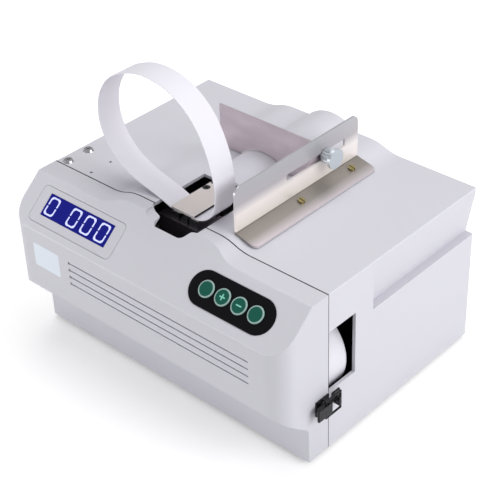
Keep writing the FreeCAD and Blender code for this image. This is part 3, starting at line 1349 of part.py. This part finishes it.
def build_all():
    nodes = {
        "main_cover": main_cover(),
        "front_housing": front_housing(),
        "base_plate": base_plate(),
        "rubber_feet": rubber_feet(),
        "corner_bracket": corner_bracket(),
        "cover_screws": cover_screws(),
        "lcd_bezel": lcd_bezel(),
        "lcd_window": lcd_window(),
        "lcd_board": lcd_board(),
        "keypad_overlay": keypad_overlay(),
        "keypad_board": key_board(),
        "reel_stand": reel_stand(),
        "reel_hub": reel_hub(),
        "paper_roll": paper_roll(),
        "feed_bracket": feed_bracket(),
        "feed_roller": roller(FEED_ROLLER_RADIUS, FEED_Z, BAND_BACK_Y + 2.0 + PLATE_THICK + 9),
        "pinch_roller": roller(PINCH_ROLLER_RADIUS, PINCH_Z, BAND_BACK_Y + 2.0 + PLATE_THICK),
        "feed_motor": feed_motor(),
        "band_feed": band_feed(),
        "feed_guide": feed_guide(),
        "head_frame": head_frame(),
        "camshaft_bushes": camshaft_bushes(),
        "left_gripper": press_block(0, "serrated"),
        "heater_cutter": press_block(1, "knife"),
        "right_gripper": press_block(2, "serrated"),
        "camshaft": camshaft(),
        "cam_gear": cam_gear(),
        "motor_pinion": motor_pinion(),
        "motor_stand": motor_stand(),
        "drive_motor": drive_motor(),
        "tongue_plate": tongue_plate(),
        "tongue_carriage": tongue_carriage(),
        "tongue_screws": tongue_screws(),
        "guide_rods": guide_rods(),
        "band_loop": band_loop(),
        "fence_bracket": fence_bracket(),
        "fence_screws": fence_screws(),
        "stop_plate": stop_plate(),
        "clamp_screw": clamp_screw(),
        "latch_base": latch_base(),
        "latch_lever": latch_lever(),
        "latch_bail": latch_bail(),
        "latch_keeper": latch_keeper(),
        "mains_inlet": mains_inlet(),
        "switch_housing": switch_housing(),
        "switch_rocker": switch_rocker(),
        "control_board": control_board(),
        "transformer": transformer(),
    }
    for n, x in enumerate(key_places(), 1):
        nodes[f"key_{n}"] = key_button(x)
    return nodes


def main():
    os.makedirs("parts", exist_ok=True)
    for name, shape in build_all().items():
        shape.exportStep(f"parts/{name}.step")
        print(name, "valid" if shape.isValid() else "NOT VALID", len(shape.Solids), round(shape.Volume))


main()
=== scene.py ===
import json
import math

import bmesh
import bpy
from mathutils import Matrix, Vector


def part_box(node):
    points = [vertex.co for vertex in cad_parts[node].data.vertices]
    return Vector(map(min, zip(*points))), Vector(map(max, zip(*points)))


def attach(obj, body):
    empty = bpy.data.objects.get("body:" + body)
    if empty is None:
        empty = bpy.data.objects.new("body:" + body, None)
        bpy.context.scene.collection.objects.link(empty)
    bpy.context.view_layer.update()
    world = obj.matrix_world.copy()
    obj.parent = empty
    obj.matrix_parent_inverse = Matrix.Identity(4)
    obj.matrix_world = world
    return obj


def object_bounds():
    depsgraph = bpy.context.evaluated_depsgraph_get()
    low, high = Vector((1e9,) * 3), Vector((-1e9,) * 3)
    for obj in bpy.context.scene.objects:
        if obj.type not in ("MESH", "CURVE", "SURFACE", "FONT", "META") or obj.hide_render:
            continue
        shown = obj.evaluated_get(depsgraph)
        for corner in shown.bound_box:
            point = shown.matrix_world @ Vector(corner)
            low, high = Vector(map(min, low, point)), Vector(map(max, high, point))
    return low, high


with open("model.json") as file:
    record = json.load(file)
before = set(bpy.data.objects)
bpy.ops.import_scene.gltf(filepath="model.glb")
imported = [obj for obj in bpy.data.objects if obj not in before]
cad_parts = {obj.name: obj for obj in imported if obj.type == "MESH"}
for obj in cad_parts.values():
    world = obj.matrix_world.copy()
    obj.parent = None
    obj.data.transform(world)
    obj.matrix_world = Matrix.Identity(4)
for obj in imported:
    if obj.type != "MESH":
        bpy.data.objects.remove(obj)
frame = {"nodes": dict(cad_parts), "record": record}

MM = 0.001


def plain(bounds):
    """Corners as plain lists of numbers, in metres."""
    return [[round(float(value), 6) for value in corner] for corner in bounds]


def corners(node):
    """A node's lowest and highest corners at rest, in millimetres."""
    return [[round(value / MM, 3) for value in corner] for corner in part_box(node)]


cad_box = plain(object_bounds())

# Places taken from the model, in millimetres
HOUSING_LOW, HOUSING_HIGH = corners("front_housing")
COVER_FRONT = corners("main_cover")[0][1]
TONGUE_LOW, TONGUE_HIGH = corners("tongue_plate")
HALF = HOUSING_HIGH[0]
NOSE_Y = HOUSING_LOW[1]
HOUSING_BACK = HOUSING_HIGH[1]
HUMP_TOP = HOUSING_HIGH[2]
HUMP_HEIGHT = 5.6
CASE_HEIGHT = HUMP_TOP - HUMP_HEIGHT

# The sloped panel's own axes: x along it, y up the slope, z out of it
CREASE_Z = 103.5
PANEL_RUN = 31.0
PANEL_ANGLE = math.atan2(CASE_HEIGHT - CREASE_Z, PANEL_RUN)
PANEL = Matrix.Translation((0, NOSE_Y * MM, CREASE_Z * MM)) @ Matrix.Rotation(PANEL_ANGLE, 4, "X")

# The upright front's own axes: x along it, y up, z out of it
FRONT = Matrix.Translation((0, NOSE_Y * MM, 0)) @ Matrix.Rotation(math.pi / 2, 4, "X")


# Materials

FINISH = {}
GRAIN_DETAIL = 3.0
GRAIN_DEPTH = 0.2 * MM
LEAST_ROUGHNESS = 0.02


def linear(colour):
    """Turns a colour as it looks on screen, from 0 to 255, into Blender's linear one."""
    out = []
    for value in colour:
        c = value / 255
        out.append(c / 12.92 if c <= 0.04045 else ((c + 0.055) / 1.055) ** 2.4)
    return (*out, 1.0)


def material(name, colour, rough, metal=0.0, coat=0.0, specular=0.5):
    """Makes a material of one colour, and keeps it in FINISH under its name."""
    mat = bpy.data.materials.new(name)
    mat.use_nodes = True
    shader = mat.node_tree.nodes["Principled BSDF"]
    shader.inputs["Base Color"].default_value = linear(colour)
    shader.inputs["Roughness"].default_value = rough
    shader.inputs["Metallic"].default_value = metal
    shader.inputs["Coat Weight"].default_value = coat
    shader.inputs["Specular IOR Level"].default_value = specular
    FINISH[name] = mat
    return mat


def grain(mat, scale, bump=0.0, stretch=(1, 1, 1), tint=0.0, spread=0.0):
    """Adds a fine noise: as bump, as lighter and darker colour, and as a spread of roughness."""
    tree = mat.node_tree
    shader = tree.nodes["Principled BSDF"]
    place = tree.nodes.new("ShaderNodeTexCoord")
    mapping = tree.nodes.new("ShaderNodeMapping")
    mapping.inputs["Scale"].default_value = stretch
    noise = tree.nodes.new("ShaderNodeTexNoise")
    noise.inputs["Scale"].default_value = scale
    noise.inputs["Detail"].default_value = GRAIN_DETAIL
    tree.links.new(place.outputs["Object"], mapping.inputs["Vector"])
    tree.links.new(mapping.outputs["Vector"], noise.inputs["Vector"])
    if bump:
        relief = tree.nodes.new("ShaderNodeBump")
        relief.inputs["Strength"].default_value = bump
        relief.inputs["Distance"].default_value = GRAIN_DEPTH
        tree.links.new(noise.outputs["Fac"], relief.inputs["Height"])
        tree.links.new(relief.outputs["Normal"], shader.inputs["Normal"])
    if tint:
        base = shader.inputs["Base Color"].default_value[:3]
        mix = tree.nodes.new("ShaderNodeMixRGB")
        mix.inputs["Color1"].default_value = (*(c * (1 - tint) for c in base), 1)
        mix.inputs["Color2"].default_value = (*(min(1, c * (1 + tint)) for c in base), 1)
        tree.links.new(noise.outputs["Fac"], mix.inputs["Fac"])
        tree.links.new(mix.outputs["Color"], shader.inputs["Base Color"])
    if spread:
        rough = shader.inputs["Roughness"].default_value
        levels = tree.nodes.new("ShaderNodeMapRange")
        levels.inputs["To Min"].default_value = max(LEAST_ROUGHNESS, rough - spread)
        levels.inputs["To Max"].default_value = rough + spread
        tree.links.new(noise.outputs["Fac"], levels.inputs["Value"])
        tree.links.new(levels.outputs["Result"], shader.inputs["Roughness"])


def shade_by_height(mat, stops):
    """Lets the colour change with the height, from stops of (height in mm, colour)."""
    lowest, highest = stops[0][0], stops[-1][0]
    tree = mat.node_tree
    place = tree.nodes.new("ShaderNodeTexCoord")
    split = tree.nodes.new("ShaderNodeSeparateXYZ")
    levels = tree.nodes.new("ShaderNodeMapRange")
    levels.inputs["From Min"].default_value = lowest * MM
    levels.inputs["From Max"].default_value = highest * MM
    ramp = tree.nodes.new("ShaderNodeValToRGB")
    for height, colour in stops[1:-1]:
        ramp.color_ramp.elements.new((height - lowest) / (highest - lowest))
    for element, (height, colour) in zip(ramp.color_ramp.elements, stops):
        element.color = linear(colour)
    tree.links.new(place.outputs["Object"], split.inputs["Vector"])
    tree.links.new(split.outputs["Z"], levels.inputs["Value"])
    tree.links.new(levels.outputs["Result"], ramp.inputs["Fac"])
    tree.links.new(ramp.outputs["Color"], tree.nodes["Principled BSDF"].inputs["Base Color"])


def glow(mat, colour, strength):
    """Lets a material give off a little light of its own."""
    shader = mat.node_tree.nodes["Principled BSDF"]
    shader.inputs["Emission Color"].default_value = linear(colour)
    shader.inputs["Emission Strength"].default_value = strength


# Painted and moulded casing
cover_paint = material("cover_paint", (208, 207, 215), rough=0.42)
grain(cover_paint, scale=900, bump=0.12, tint=0.012)
housing_plastic = material("housing_plastic", (205, 204, 212), rough=0.40)
grain(housing_plastic, scale=1100, bump=0.10, tint=0.012)
bezel_plastic = material("bezel_plastic", (203, 202, 210), rough=0.38)
grain(bezel_plastic, scale=1100, bump=0.08)

# Sheet metal, screws and latch
plated_steel = material("plated_steel", (150, 152, 156), rough=0.42, metal=1.0)
grain(plated_steel, scale=60, bump=0.1, stretch=(1, 1, 8), spread=0.08)
bright_steel = material("bright_steel", (190, 190, 192), rough=0.30, metal=1.0)
grain(bright_steel, scale=80, bump=0.1, stretch=(8, 1, 1), spread=0.06)
dark_steel = material("dark_steel", (70, 70, 72), rough=0.40, metal=1.0)
grain(dark_steel, scale=300, bump=0.1)
zinc_steel = material("zinc_steel", (206, 213, 218), rough=0.40, metal=0.7)
grain(zinc_steel, scale=300, bump=0.15, spread=0.08)
chromed_steel = material("chromed_steel", (205, 205, 208), rough=0.16, metal=1.0)
grain(chromed_steel, scale=400, bump=0.05)
black_steel = material("black_steel", (40, 40, 44), rough=0.26, metal=0.6)
grain(black_steel, scale=500, bump=0.15, spread=0.08)
dull_brass = material("dull_brass", (160, 148, 104), rough=0.36, metal=0.9)
grain(dull_brass, scale=300, bump=0.1, spread=0.06)

# Fence: reflection and shade painted into its colour by height: pale on its foot, painted shade
# round the bend, a bright painted reflection above it and greyer at the top
fence_steel = material("fence_steel", (214, 215, 220), rough=0.34, metal=0.5)
grain(fence_steel, scale=90, bump=0.10, stretch=(14, 1, 1), spread=0.06)
FENCE_REFLECTION_AND_SHADE = [
    (0, (214, 206, 212)),
    (2, (204, 196, 200)),
    (4, (152, 146, 141)),
    (6.5, (142, 136, 130)),
    (7.3, (255, 248, 243)),
    (19, (255, 249, 245)),
    (27, (192, 188, 192)),
    (40, (188, 188, 193)),
]
# These height stops paint reflection and shade onto the fence, not the steel's own colour
shade_by_height(fence_steel, [(CASE_HEIGHT + up, colour) for up, colour in FENCE_REFLECTION_AND_SHADE])
stop_steel = material("stop_steel", (196, 184, 191), rough=0.36, metal=0.7)
grain(stop_steel, scale=22, stretch=(1, 1, 3), tint=0.28, spread=0.1)

# Strapping head, motors and gears
head_steel = material("head_steel", (118, 110, 120), rough=0.45, metal=0.8)
grain(head_steel, scale=80, bump=0.1, stretch=(8, 1, 1), spread=0.06)
tongue_steel = material("tongue_steel", (220, 212, 210), rough=0.45, metal=0.4)
grain(tongue_steel, scale=70, bump=0.08, stretch=(1, 10, 1), spread=0.06)
heater_aluminium = material("heater_aluminium", (170, 171, 174), rough=0.40, metal=1.0)
grain(heater_aluminium, scale=120, bump=0.1, spread=0.05)
motor_steel = material("motor_steel", (120, 122, 126), rough=0.38, metal=1.0)
grain(motor_steel, scale=90, bump=0.1, stretch=(1, 8, 8), spread=0.06)
bush_brass = material("bush_brass", (200, 158, 84), rough=0.28, metal=1.0)
grain(bush_brass, scale=300, bump=0.08, spread=0.05)
gear_plastic = material("gear_plastic", (228, 225, 214), rough=0.45)
grain(gear_plastic, scale=500, bump=0.08)

# Rubber, black plastic, keys and electrics
black_rubber = material("black_rubber", (26, 26, 27), rough=0.75)
grain(black_rubber, scale=600, bump=0.3)
# Near-black colour that paints the shadow in the seam between the housing and the cover
seam_shadow_paint = material("seam_shadow_paint", (38, 36, 42), rough=0.8, specular=0.1)
grain(seam_shadow_paint, scale=700, bump=0.1)
black_plastic = material("black_plastic", (28, 28, 31), rough=0.45)
grain(black_plastic, scale=900, bump=0.2)
black_overlay = material("black_overlay", (7, 6, 11), rough=0.42, specular=0.12)
grain(black_overlay, scale=700, bump=0.04)
key_plastic = material("key_plastic", (4, 84, 70), rough=0.26, specular=0.35, coat=0.1)
grain(key_plastic, scale=900, bump=0.05)
rocker_plastic = material("rocker_plastic", (24, 24, 26), rough=0.28)
grain(rocker_plastic, scale=900, bump=0.05)
circuit_board = material("circuit_board", (28, 104, 62), rough=0.40)
grain(circuit_board, scale=200, bump=0.1, tint=0.10)
transformer_steel = material("transformer_steel", (66, 66, 70), rough=0.50)
grain(transformer_steel, scale=200, bump=0.2)

# Paper, display and prints
band_paper = material("band_paper", (228, 226, 234), rough=0.62, specular=0.3)
grain(band_paper, scale=420, bump=0.10, tint=0.01)
display_window = material("display_window", (14, 16, 88), rough=0.30, specular=0.12)
glow(display_window, (24, 30, 150), 0.4)
digit_light = material("digit_light", (196, 200, 240), rough=0.4)
glow(digit_light, (190, 196, 250), 0.45)
key_ring_print = material("key_ring_print", (150, 176, 172), rough=0.35)
grain(key_ring_print, scale=600, bump=0.04)
key_mark_print = material("key_mark_print", (128, 206, 184), rough=0.35)
grain(key_mark_print, scale=600, bump=0.04)
sticker_film = material("sticker_film", (226, 233, 243), rough=0.32)
grain(sticker_film, scale=500, bump=0.03)

# Nodes that look unlike the rest of their slot
NODE_FINISH = {"stop_plate": stop_steel, "head_frame": head_steel, "fence_screws": dull_brass}

for part in frame["record"]["subparts"]:
    carried = frame["nodes"][part["node"]]
    finish = NODE_FINISH.get(part["node"], FINISH[part["material_slot"]])
    if not carried.material_slots:
        carried.data.materials.append(finish)
    for slot in carried.material_slots:
        slot.material = finish


# Pieces added to the model, in millimetres

TURN_STEPS = 48
CORNER_STEPS = 6
FLANK_STEPS = 10


def piece(name, mesh_maker, mat, body, place=Matrix.Identity(4)):
    """Makes a named mesh from a function that fills a bmesh in millimetres."""
    bm = bmesh.new()
    mesh_maker(bm)
    bmesh.ops.transform(bm, matrix=place @ Matrix.Scale(MM, 4), verts=bm.verts)
    bmesh.ops.recalc_face_normals(bm, faces=bm.faces)
    data = bpy.data.meshes.new(name)
    bm.to_mesh(data)
    bm.free()
    obj = bpy.data.objects.new(name, data)
    bpy.context.scene.collection.objects.link(obj)
    data.materials.append(mat)
    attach(obj, body)


def slab(bm, points, low, high):
    """Closed flat piece with a 2-D outline, from low to high."""
    bottom = [bm.verts.new((x, y, low)) for x, y in points]
    top = [bm.verts.new((x, y, high)) for x, y in points]
    bm.faces.new(bottom[::-1])
    bm.faces.new(top)
    count = len(points)
    for i in range(count):
        j = (i + 1) % count
        bm.faces.new((bottom[i], bottom[j], top[j], top[i]))


def join_loops(bm, here, there):
    """Closed band of faces between two loops of as many points."""
    count = len(here)
    for i in range(count):
        j = (i + 1) % count
        bm.faces.new((here[i], there[i], there[j], here[j]))


def turned(bm, profile, x, y):
    """Ring turned about the line through x, y, from a closed profile of (radius, height)."""
    loops = []
    for n in range(TURN_STEPS):
        angle = 2 * math.pi * n / TURN_STEPS
        c, s = math.cos(angle), math.sin(angle)
        loops.append([bm.verts.new((x + r * c, y + r * s, h)) for r, h in profile])
    for here, there in zip(loops, loops[1:] + loops[:1]):
        join_loops(bm, here, there)


def rounded(left, right, low, high, radius):
    """Outline of a rectangle with round corners."""
    points = []
    left, right, low, high = left + radius, right - radius, low + radius, high - radius
    for x, y, start in ((right, low, -90), (right, high, 0), (left, high, 90), (left, low, 180)):
        for n in range(CORNER_STEPS + 1):
            angle = math.radians(start + 90 * n / CORNER_STEPS)
            points.append((x + radius * math.cos(angle), y + radius * math.sin(angle)))
    return points


# Figures on the display: two bent strokes each, with cut corners and a gap half way up
FIGURE_MIDDLES = (-100.4, -77.2, -62.6, -48.0)
FIGURE_UP = 20.9
FIGURE_WIDTH, FIGURE_HEIGHT = 9.6, 14.2
FIGURE_STROKE = 1.2
FIGURE_LEAN = 0.05
FIGURE_CUT = 1.9
FIGURE_BEND = 0.3 * FIGURE_CUT
FIGURE_GAP = 0.5
FIGURE_LEVELS = (-0.16, -0.09)


def figure_stroke():
    """Upper half of a figure, as a closed outline round the middle of the figure."""
    side, top = FIGURE_WIDTH / 2, FIGURE_HEIGHT / 2
    outer = [
        (side, FIGURE_GAP),
        (side, top - FIGURE_CUT),
        (side - FIGURE_BEND, top - FIGURE_BEND),
        (side - FIGURE_CUT, top),
    ]
    inner_side, inner_top = side - FIGURE_STROKE, top - FIGURE_STROKE
    inner_cut = FIGURE_CUT - FIGURE_STROKE * (2 - math.sqrt(2)) / 2
    inner = [
        (inner_side, FIGURE_GAP),
        (inner_side, inner_top - inner_cut),
        (inner_side - inner_cut, inner_top),
    ]
    return outer + [(-x, y) for x, y in outer[::-1]] + [(-x, y) for x, y in inner] + inner[::-1]


def draw_figures(bm):
    """Both halves of each figure, leaning a little to the right."""
    for middle in FIGURE_MIDDLES:
        for half in (-1, 1):
            points = [(x, half * y) for x, y in figure_stroke()]
            placed = [(middle + x + FIGURE_LEAN * y, FIGURE_UP + y) for x, y in points]
            slab(bm, placed, *FIGURE_LEVELS)


piece("display_figures", draw_figures, digit_light, "casing", PANEL)

# Bright rims and marks on the keys
KEYPAD_UP = 20.1
KEY_TOP = 1.4
KEY_RADIUS = 6.2
KEY_CHAMFER = 0.4
KEY_COUNT = 4
LIFT, SINK = 0.05, 0.02
RIM_WIDTH, RIM_SKIRT, RIM_BITE = 1.0, 0.1, 0.03
RIM_IN = KEY_RADIUS - RIM_WIDTH
RIM_END = KEY_TOP - KEY_CHAMFER - RIM_SKIRT
RIM = [
    (RIM_IN, KEY_TOP - SINK),
    (RIM_IN, KEY_TOP + LIFT),
    (KEY_RADIUS - KEY_CHAMFER + SINK, KEY_TOP + LIFT),
    (KEY_RADIUS + LIFT, KEY_TOP - KEY_CHAMFER + SINK),
    (KEY_RADIUS + LIFT, RIM_END),
    (KEY_RADIUS - RIM_BITE, RIM_END),
    (KEY_RADIUS - KEY_CHAMFER - LIFT, KEY_TOP - 2 * SINK),
]
MARK_LENGTH, MARK_STROKE = 4.6, 0.95
MARK_LEVELS = (KEY_TOP - SINK, KEY_TOP + LIFT)
PLUS_KEY, MINUS_KEY = 2, 3


def key_x(n):
    """Where key n sits along the panel."""
    low, high = corners(f"key_{n}")
    return (low[0] + high[0]) / 2


def key_rim(n):
    """Gives the function that draws the rim of key n."""

    def draw(bm):
        turned(bm, RIM, key_x(n), KEYPAD_UP)

    return draw


def plus_mark(bm):
    x, s, h = key_x(PLUS_KEY), MARK_STROKE / 2, MARK_LENGTH / 2
    arm = [(s, -s), (h, -s), (h, s)]
    points = []
    for cos, sin in ((1, 0), (0, 1), (-1, 0), (0, -1)):
        points += [(x + px * cos - py * sin, KEYPAD_UP + px * sin + py * cos) for px, py in arm]
    slab(bm, points, *MARK_LEVELS)


def minus_mark(bm):
    x, s, h = key_x(MINUS_KEY), MARK_STROKE / 2, MARK_LENGTH / 2
    corner_signs = ((-1, -1), (1, -1), (1, 1), (-1, 1))
    slab(bm, [(x + i * h, KEYPAD_UP + j * s) for i, j in corner_signs], *MARK_LEVELS)


for key in range(1, KEY_COUNT + 1):
    piece(f"key_rim_{key}", key_rim(key), key_ring_print, f"key_{key}", PANEL)
piece("key_plus_mark", plus_mark, key_mark_print, f"key_{PLUS_KEY}", PANEL)
piece("key_minus_mark", minus_mark, key_mark_print, f"key_{MINUS_KEY}", PANEL)

# Bare sticker on the front
STICKER_LEFT, STICKER_RIGHT = -107.5, -80.0
STICKER_LOW, STICKER_HIGH = 72.5, 92.0
STICKER_RADIUS = 1.2
STICKER_THICK = 0.12


def sticker(bm):
    outline = rounded(STICKER_LEFT, STICKER_RIGHT, STICKER_LOW, STICKER_HIGH, STICKER_RADIUS)
    slab(bm, outline, 0.0, STICKER_THICK)


piece("front_sticker", sticker, sticker_film, "casing", FRONT)

# Painted shadow: a thin dark strip beside the tongue, above the band, where the tongue's side
# shades the band
EDGE_THICK = 0.35
EDGE_GAP = 0.01
EDGE_SLANT = 0.4
EDGE_LENGTH = 19.0
EDGE_SETBACK, EDGE_RAISED, EDGE_SUNK = 1.0, 0.05, 0.1
EDGE_FRONT = TONGUE_LOW[1] + EDGE_SETBACK
EDGE_LEVELS = (TONGUE_LOW[2] + EDGE_RAISED, TONGUE_HIGH[2] - EDGE_SUNK)


def tongue_edge_shadow(bm):
    left, right = TONGUE_HIGH[0] + EDGE_GAP, TONGUE_HIGH[0] + EDGE_THICK
    back = EDGE_FRONT + EDGE_LENGTH
    points = [(left, EDGE_FRONT), (right, EDGE_FRONT + EDGE_SLANT), (right, back), (left, back)]
    slab(bm, points, *EDGE_LEVELS)


piece("tongue_edge_shadow", tongue_edge_shadow, black_steel, "tongue")

# Painted shadow: a dark strip laid in the seam between the front housing and the cover, standing
# in for the shadow in the gap
HUMP_FEET = (-68.0, 64.0)
HUMP_FLANK = 29.0
HEAD_SIDES = (-25.5, 23.5)
HOUSING_LAP, COVER_LAP, SIDE_LAP = 0.2, 0.3, 0.05
SHADOW_FRONT, SHADOW_BACK = HOUSING_BACK - HOUSING_LAP, COVER_FRONT + COVER_LAP
SIDE_SHADOW_FRONT, SIDE_SHADOW_BACK = HOUSING_BACK - SIDE_LAP, COVER_FRONT + SIDE_LAP
SHADOW_PROUD, SHADOW_DEEP = 0.03, 0.8
SHADOW_CORNER = 0.2
SHADOW_FOOT = 0.3


def flank(foot, side):
    """Points up one flank of the raised back, from its foot to its crest, in two equal arcs.

    The side is 1 for the left flank and -1 for the right one.
    """
    turn = 2 * math.atan2(HUMP_HEIGHT, HUMP_FLANK)
    radius = HUMP_FLANK / (2 * math.sin(turn))
    points = []
    for n in range(FLANK_STEPS + 1):
        angle = turn * n / FLANK_STEPS
        points.append((radius * math.sin(angle), radius * (1 - math.cos(angle))))
    points += [(HUMP_FLANK - x, HUMP_HEIGHT - z) for x, z in points[-2::-1]]
    return [(foot + side * x, CASE_HEIGHT + z) for x, z in points]


def shadow_strip(bm, line, side, front, back):
    """Dark strip of painted shadow in the seam, along a line of points (x, z), with its depth
    into the case.
    """
    rows = []
    for n, (x, z) in enumerate(line):
        before = Vector(line[max(n - 1, 0)])
        after = Vector(line[min(n + 1, len(line) - 1)])
        along = (after - before).normalized()
        out = Vector((-along.y, along.x)) * side
        top, low = Vector((x, z)) + out * SHADOW_PROUD, Vector((x, z)) - out * SHADOW_DEEP
        ends = ((top, front), (top, back), (low, back), (low, front))
        rows.append([bm.verts.new((p.x, y, p.y)) for p, y in ends])
    for here, there in zip(rows, rows[1:]):
        join_loops(bm, here, there)
    bm.faces.new(rows[0])
    bm.faces.new(rows[-1])


def seam_shadow_strips(bm):
    for foot, head, side in ((HUMP_FEET[0], HEAD_SIDES[0], 1), (HUMP_FEET[1], HEAD_SIDES[1], -1)):
        top = [(-side * (HALF - SHADOW_CORNER), CASE_HEIGHT), *flank(foot, side), (head, HUMP_TOP)]
        shadow_strip(bm, top, side, SHADOW_FRONT, SHADOW_BACK)
        edge = [(-side * HALF, SHADOW_FOOT), (-side * HALF, CASE_HEIGHT - SHADOW_CORNER)]
        shadow_strip(bm, edge, side, SIDE_SHADOW_FRONT, SIDE_SHADOW_BACK)


piece("seam_shadow_strip", seam_shadow_strips, seam_shadow_paint, "casing")


# Floor, light and camera, in metres

WHITE = (1, 1, 1, 1)
FLOOR_SIZE = 12
FLOOR_COLOUR = (0.86, 0.86, 0.86, 1)
FLOOR_ROUGHNESS = 0.7
FLOOR_SPECULAR = 0.1
FLOOR_LIFT = 0.32
WORLD_LIGHT, WORLD_SEEN = 0.42, 1.0
LOOK_AT = Vector((0.0, -0.02, 0.09))
CAMERA_PLACE = (0.5625, -0.6028, 0.6421)
CAMERA_FORWARD = Vector((-0.5641, 0.5964, -0.5710))
CAMERA_UP = Vector((-0.3637, 0.4413, 0.8204))
LENS, SENSOR_WIDTH = 98.81, 36.0
CLIP_START = 0.01


def add_floor():
    """Pale floor, lifted a little towards white where the camera sees it."""
    bpy.ops.mesh.primitive_plane_add(size=FLOOR_SIZE, location=(0, 0, cad_box[0][2]))
    floor = bpy.context.object
    floor.name = "floor"
    mat = bpy.data.materials.new("floor")
    mat.use_nodes = True
    tree = mat.node_tree
    base = tree.nodes["Principled BSDF"]
    base.inputs["Base Color"].default_value = FLOOR_COLOUR
    base.inputs["Roughness"].default_value = FLOOR_ROUGHNESS
    base.inputs["Specular IOR Level"].default_value = FLOOR_SPECULAR
    seen = tree.nodes.new("ShaderNodeLightPath")
    lift = tree.nodes.new("ShaderNodeEmission")
    lift.inputs["Color"].default_value = WHITE
    strength = tree.nodes.new("ShaderNodeMath")
    strength.operation = "MULTIPLY"
    strength.inputs[1].default_value = FLOOR_LIFT
    both = tree.nodes.new("ShaderNodeAddShader")
    tree.links.new(seen.outputs["Is Camera Ray"], strength.inputs[0])
    tree.links.new(strength.outputs["Value"], lift.inputs["Strength"])
    tree.links.new(base.outputs["BSDF"], both.inputs[0])
    tree.links.new(lift.outputs["Emission"], both.inputs[1])
    tree.links.new(both.outputs["Shader"], tree.nodes["Material Output"].inputs["Surface"])
    floor.data.materials.append(mat)


def add_world():
    """White surroundings, plain white to the camera and dimmer as light."""
    world = bpy.data.worlds.new("studio")
    bpy.context.scene.world = world
    world.use_nodes = True
    tree = world.node_tree
    sky = tree.nodes["Background"]
    sky.inputs["Color"].default_value = WHITE
    seen = tree.nodes.new("ShaderNodeLightPath")
    level = tree.nodes.new("ShaderNodeMapRange")
    level.inputs["To Min"].default_value = WORLD_LIGHT
    level.inputs["To Max"].default_value = WORLD_SEEN
    tree.links.new(seen.outputs["Is Camera Ray"], level.inputs["Value"])
    tree.links.new(level.outputs["Result"], sky.inputs["Strength"])


def add_light(name, place, size, power):
    """Soft rectangular lamp of (width, height), turned towards the machine."""
    data = bpy.data.lights.new(name, "AREA")
    data.shape = "RECTANGLE"
    data.size, data.size_y = size
    data.energy = power
    obj = bpy.data.objects.new(name, data)
    obj.location = place
    obj.rotation_euler = (LOOK_AT - Vector(place)).to_track_quat("-Z", "Y").to_euler()
    bpy.context.scene.collection.objects.link(obj)


def add_camera():
    """Camera at the photograph's viewing angle."""
    data = bpy.data.cameras.new("camera")
    data.sensor_fit = "HORIZONTAL"
    data.sensor_width = SENSOR_WIDTH
    data.lens = LENS
    data.clip_start = CLIP_START
    camera = bpy.data.objects.new("camera", data)
    forward = CAMERA_FORWARD.normalized()
    right = forward.cross(CAMERA_UP).normalized()
    turn = Matrix((right, right.cross(forward), -forward)).transposed().to_4x4()
    camera.matrix_world = Matrix.Translation(CAMERA_PLACE) @ turn
    bpy.context.scene.collection.objects.link(camera)
    bpy.context.scene.camera = camera


add_floor()
add_world()
add_light("key_light", (1.5, 0.3, 0.8), (1.2, 1.0), 17)
add_light("top_light", (-0.2, 0.3, 1.6), (1.6, 1.2), 12)
add_light("front_light", (-1.1, -1.5, 0.2), (1.4, 0.36), 13)
add_camera()
bpy.context.scene.view_settings.view_transform = "Standard"
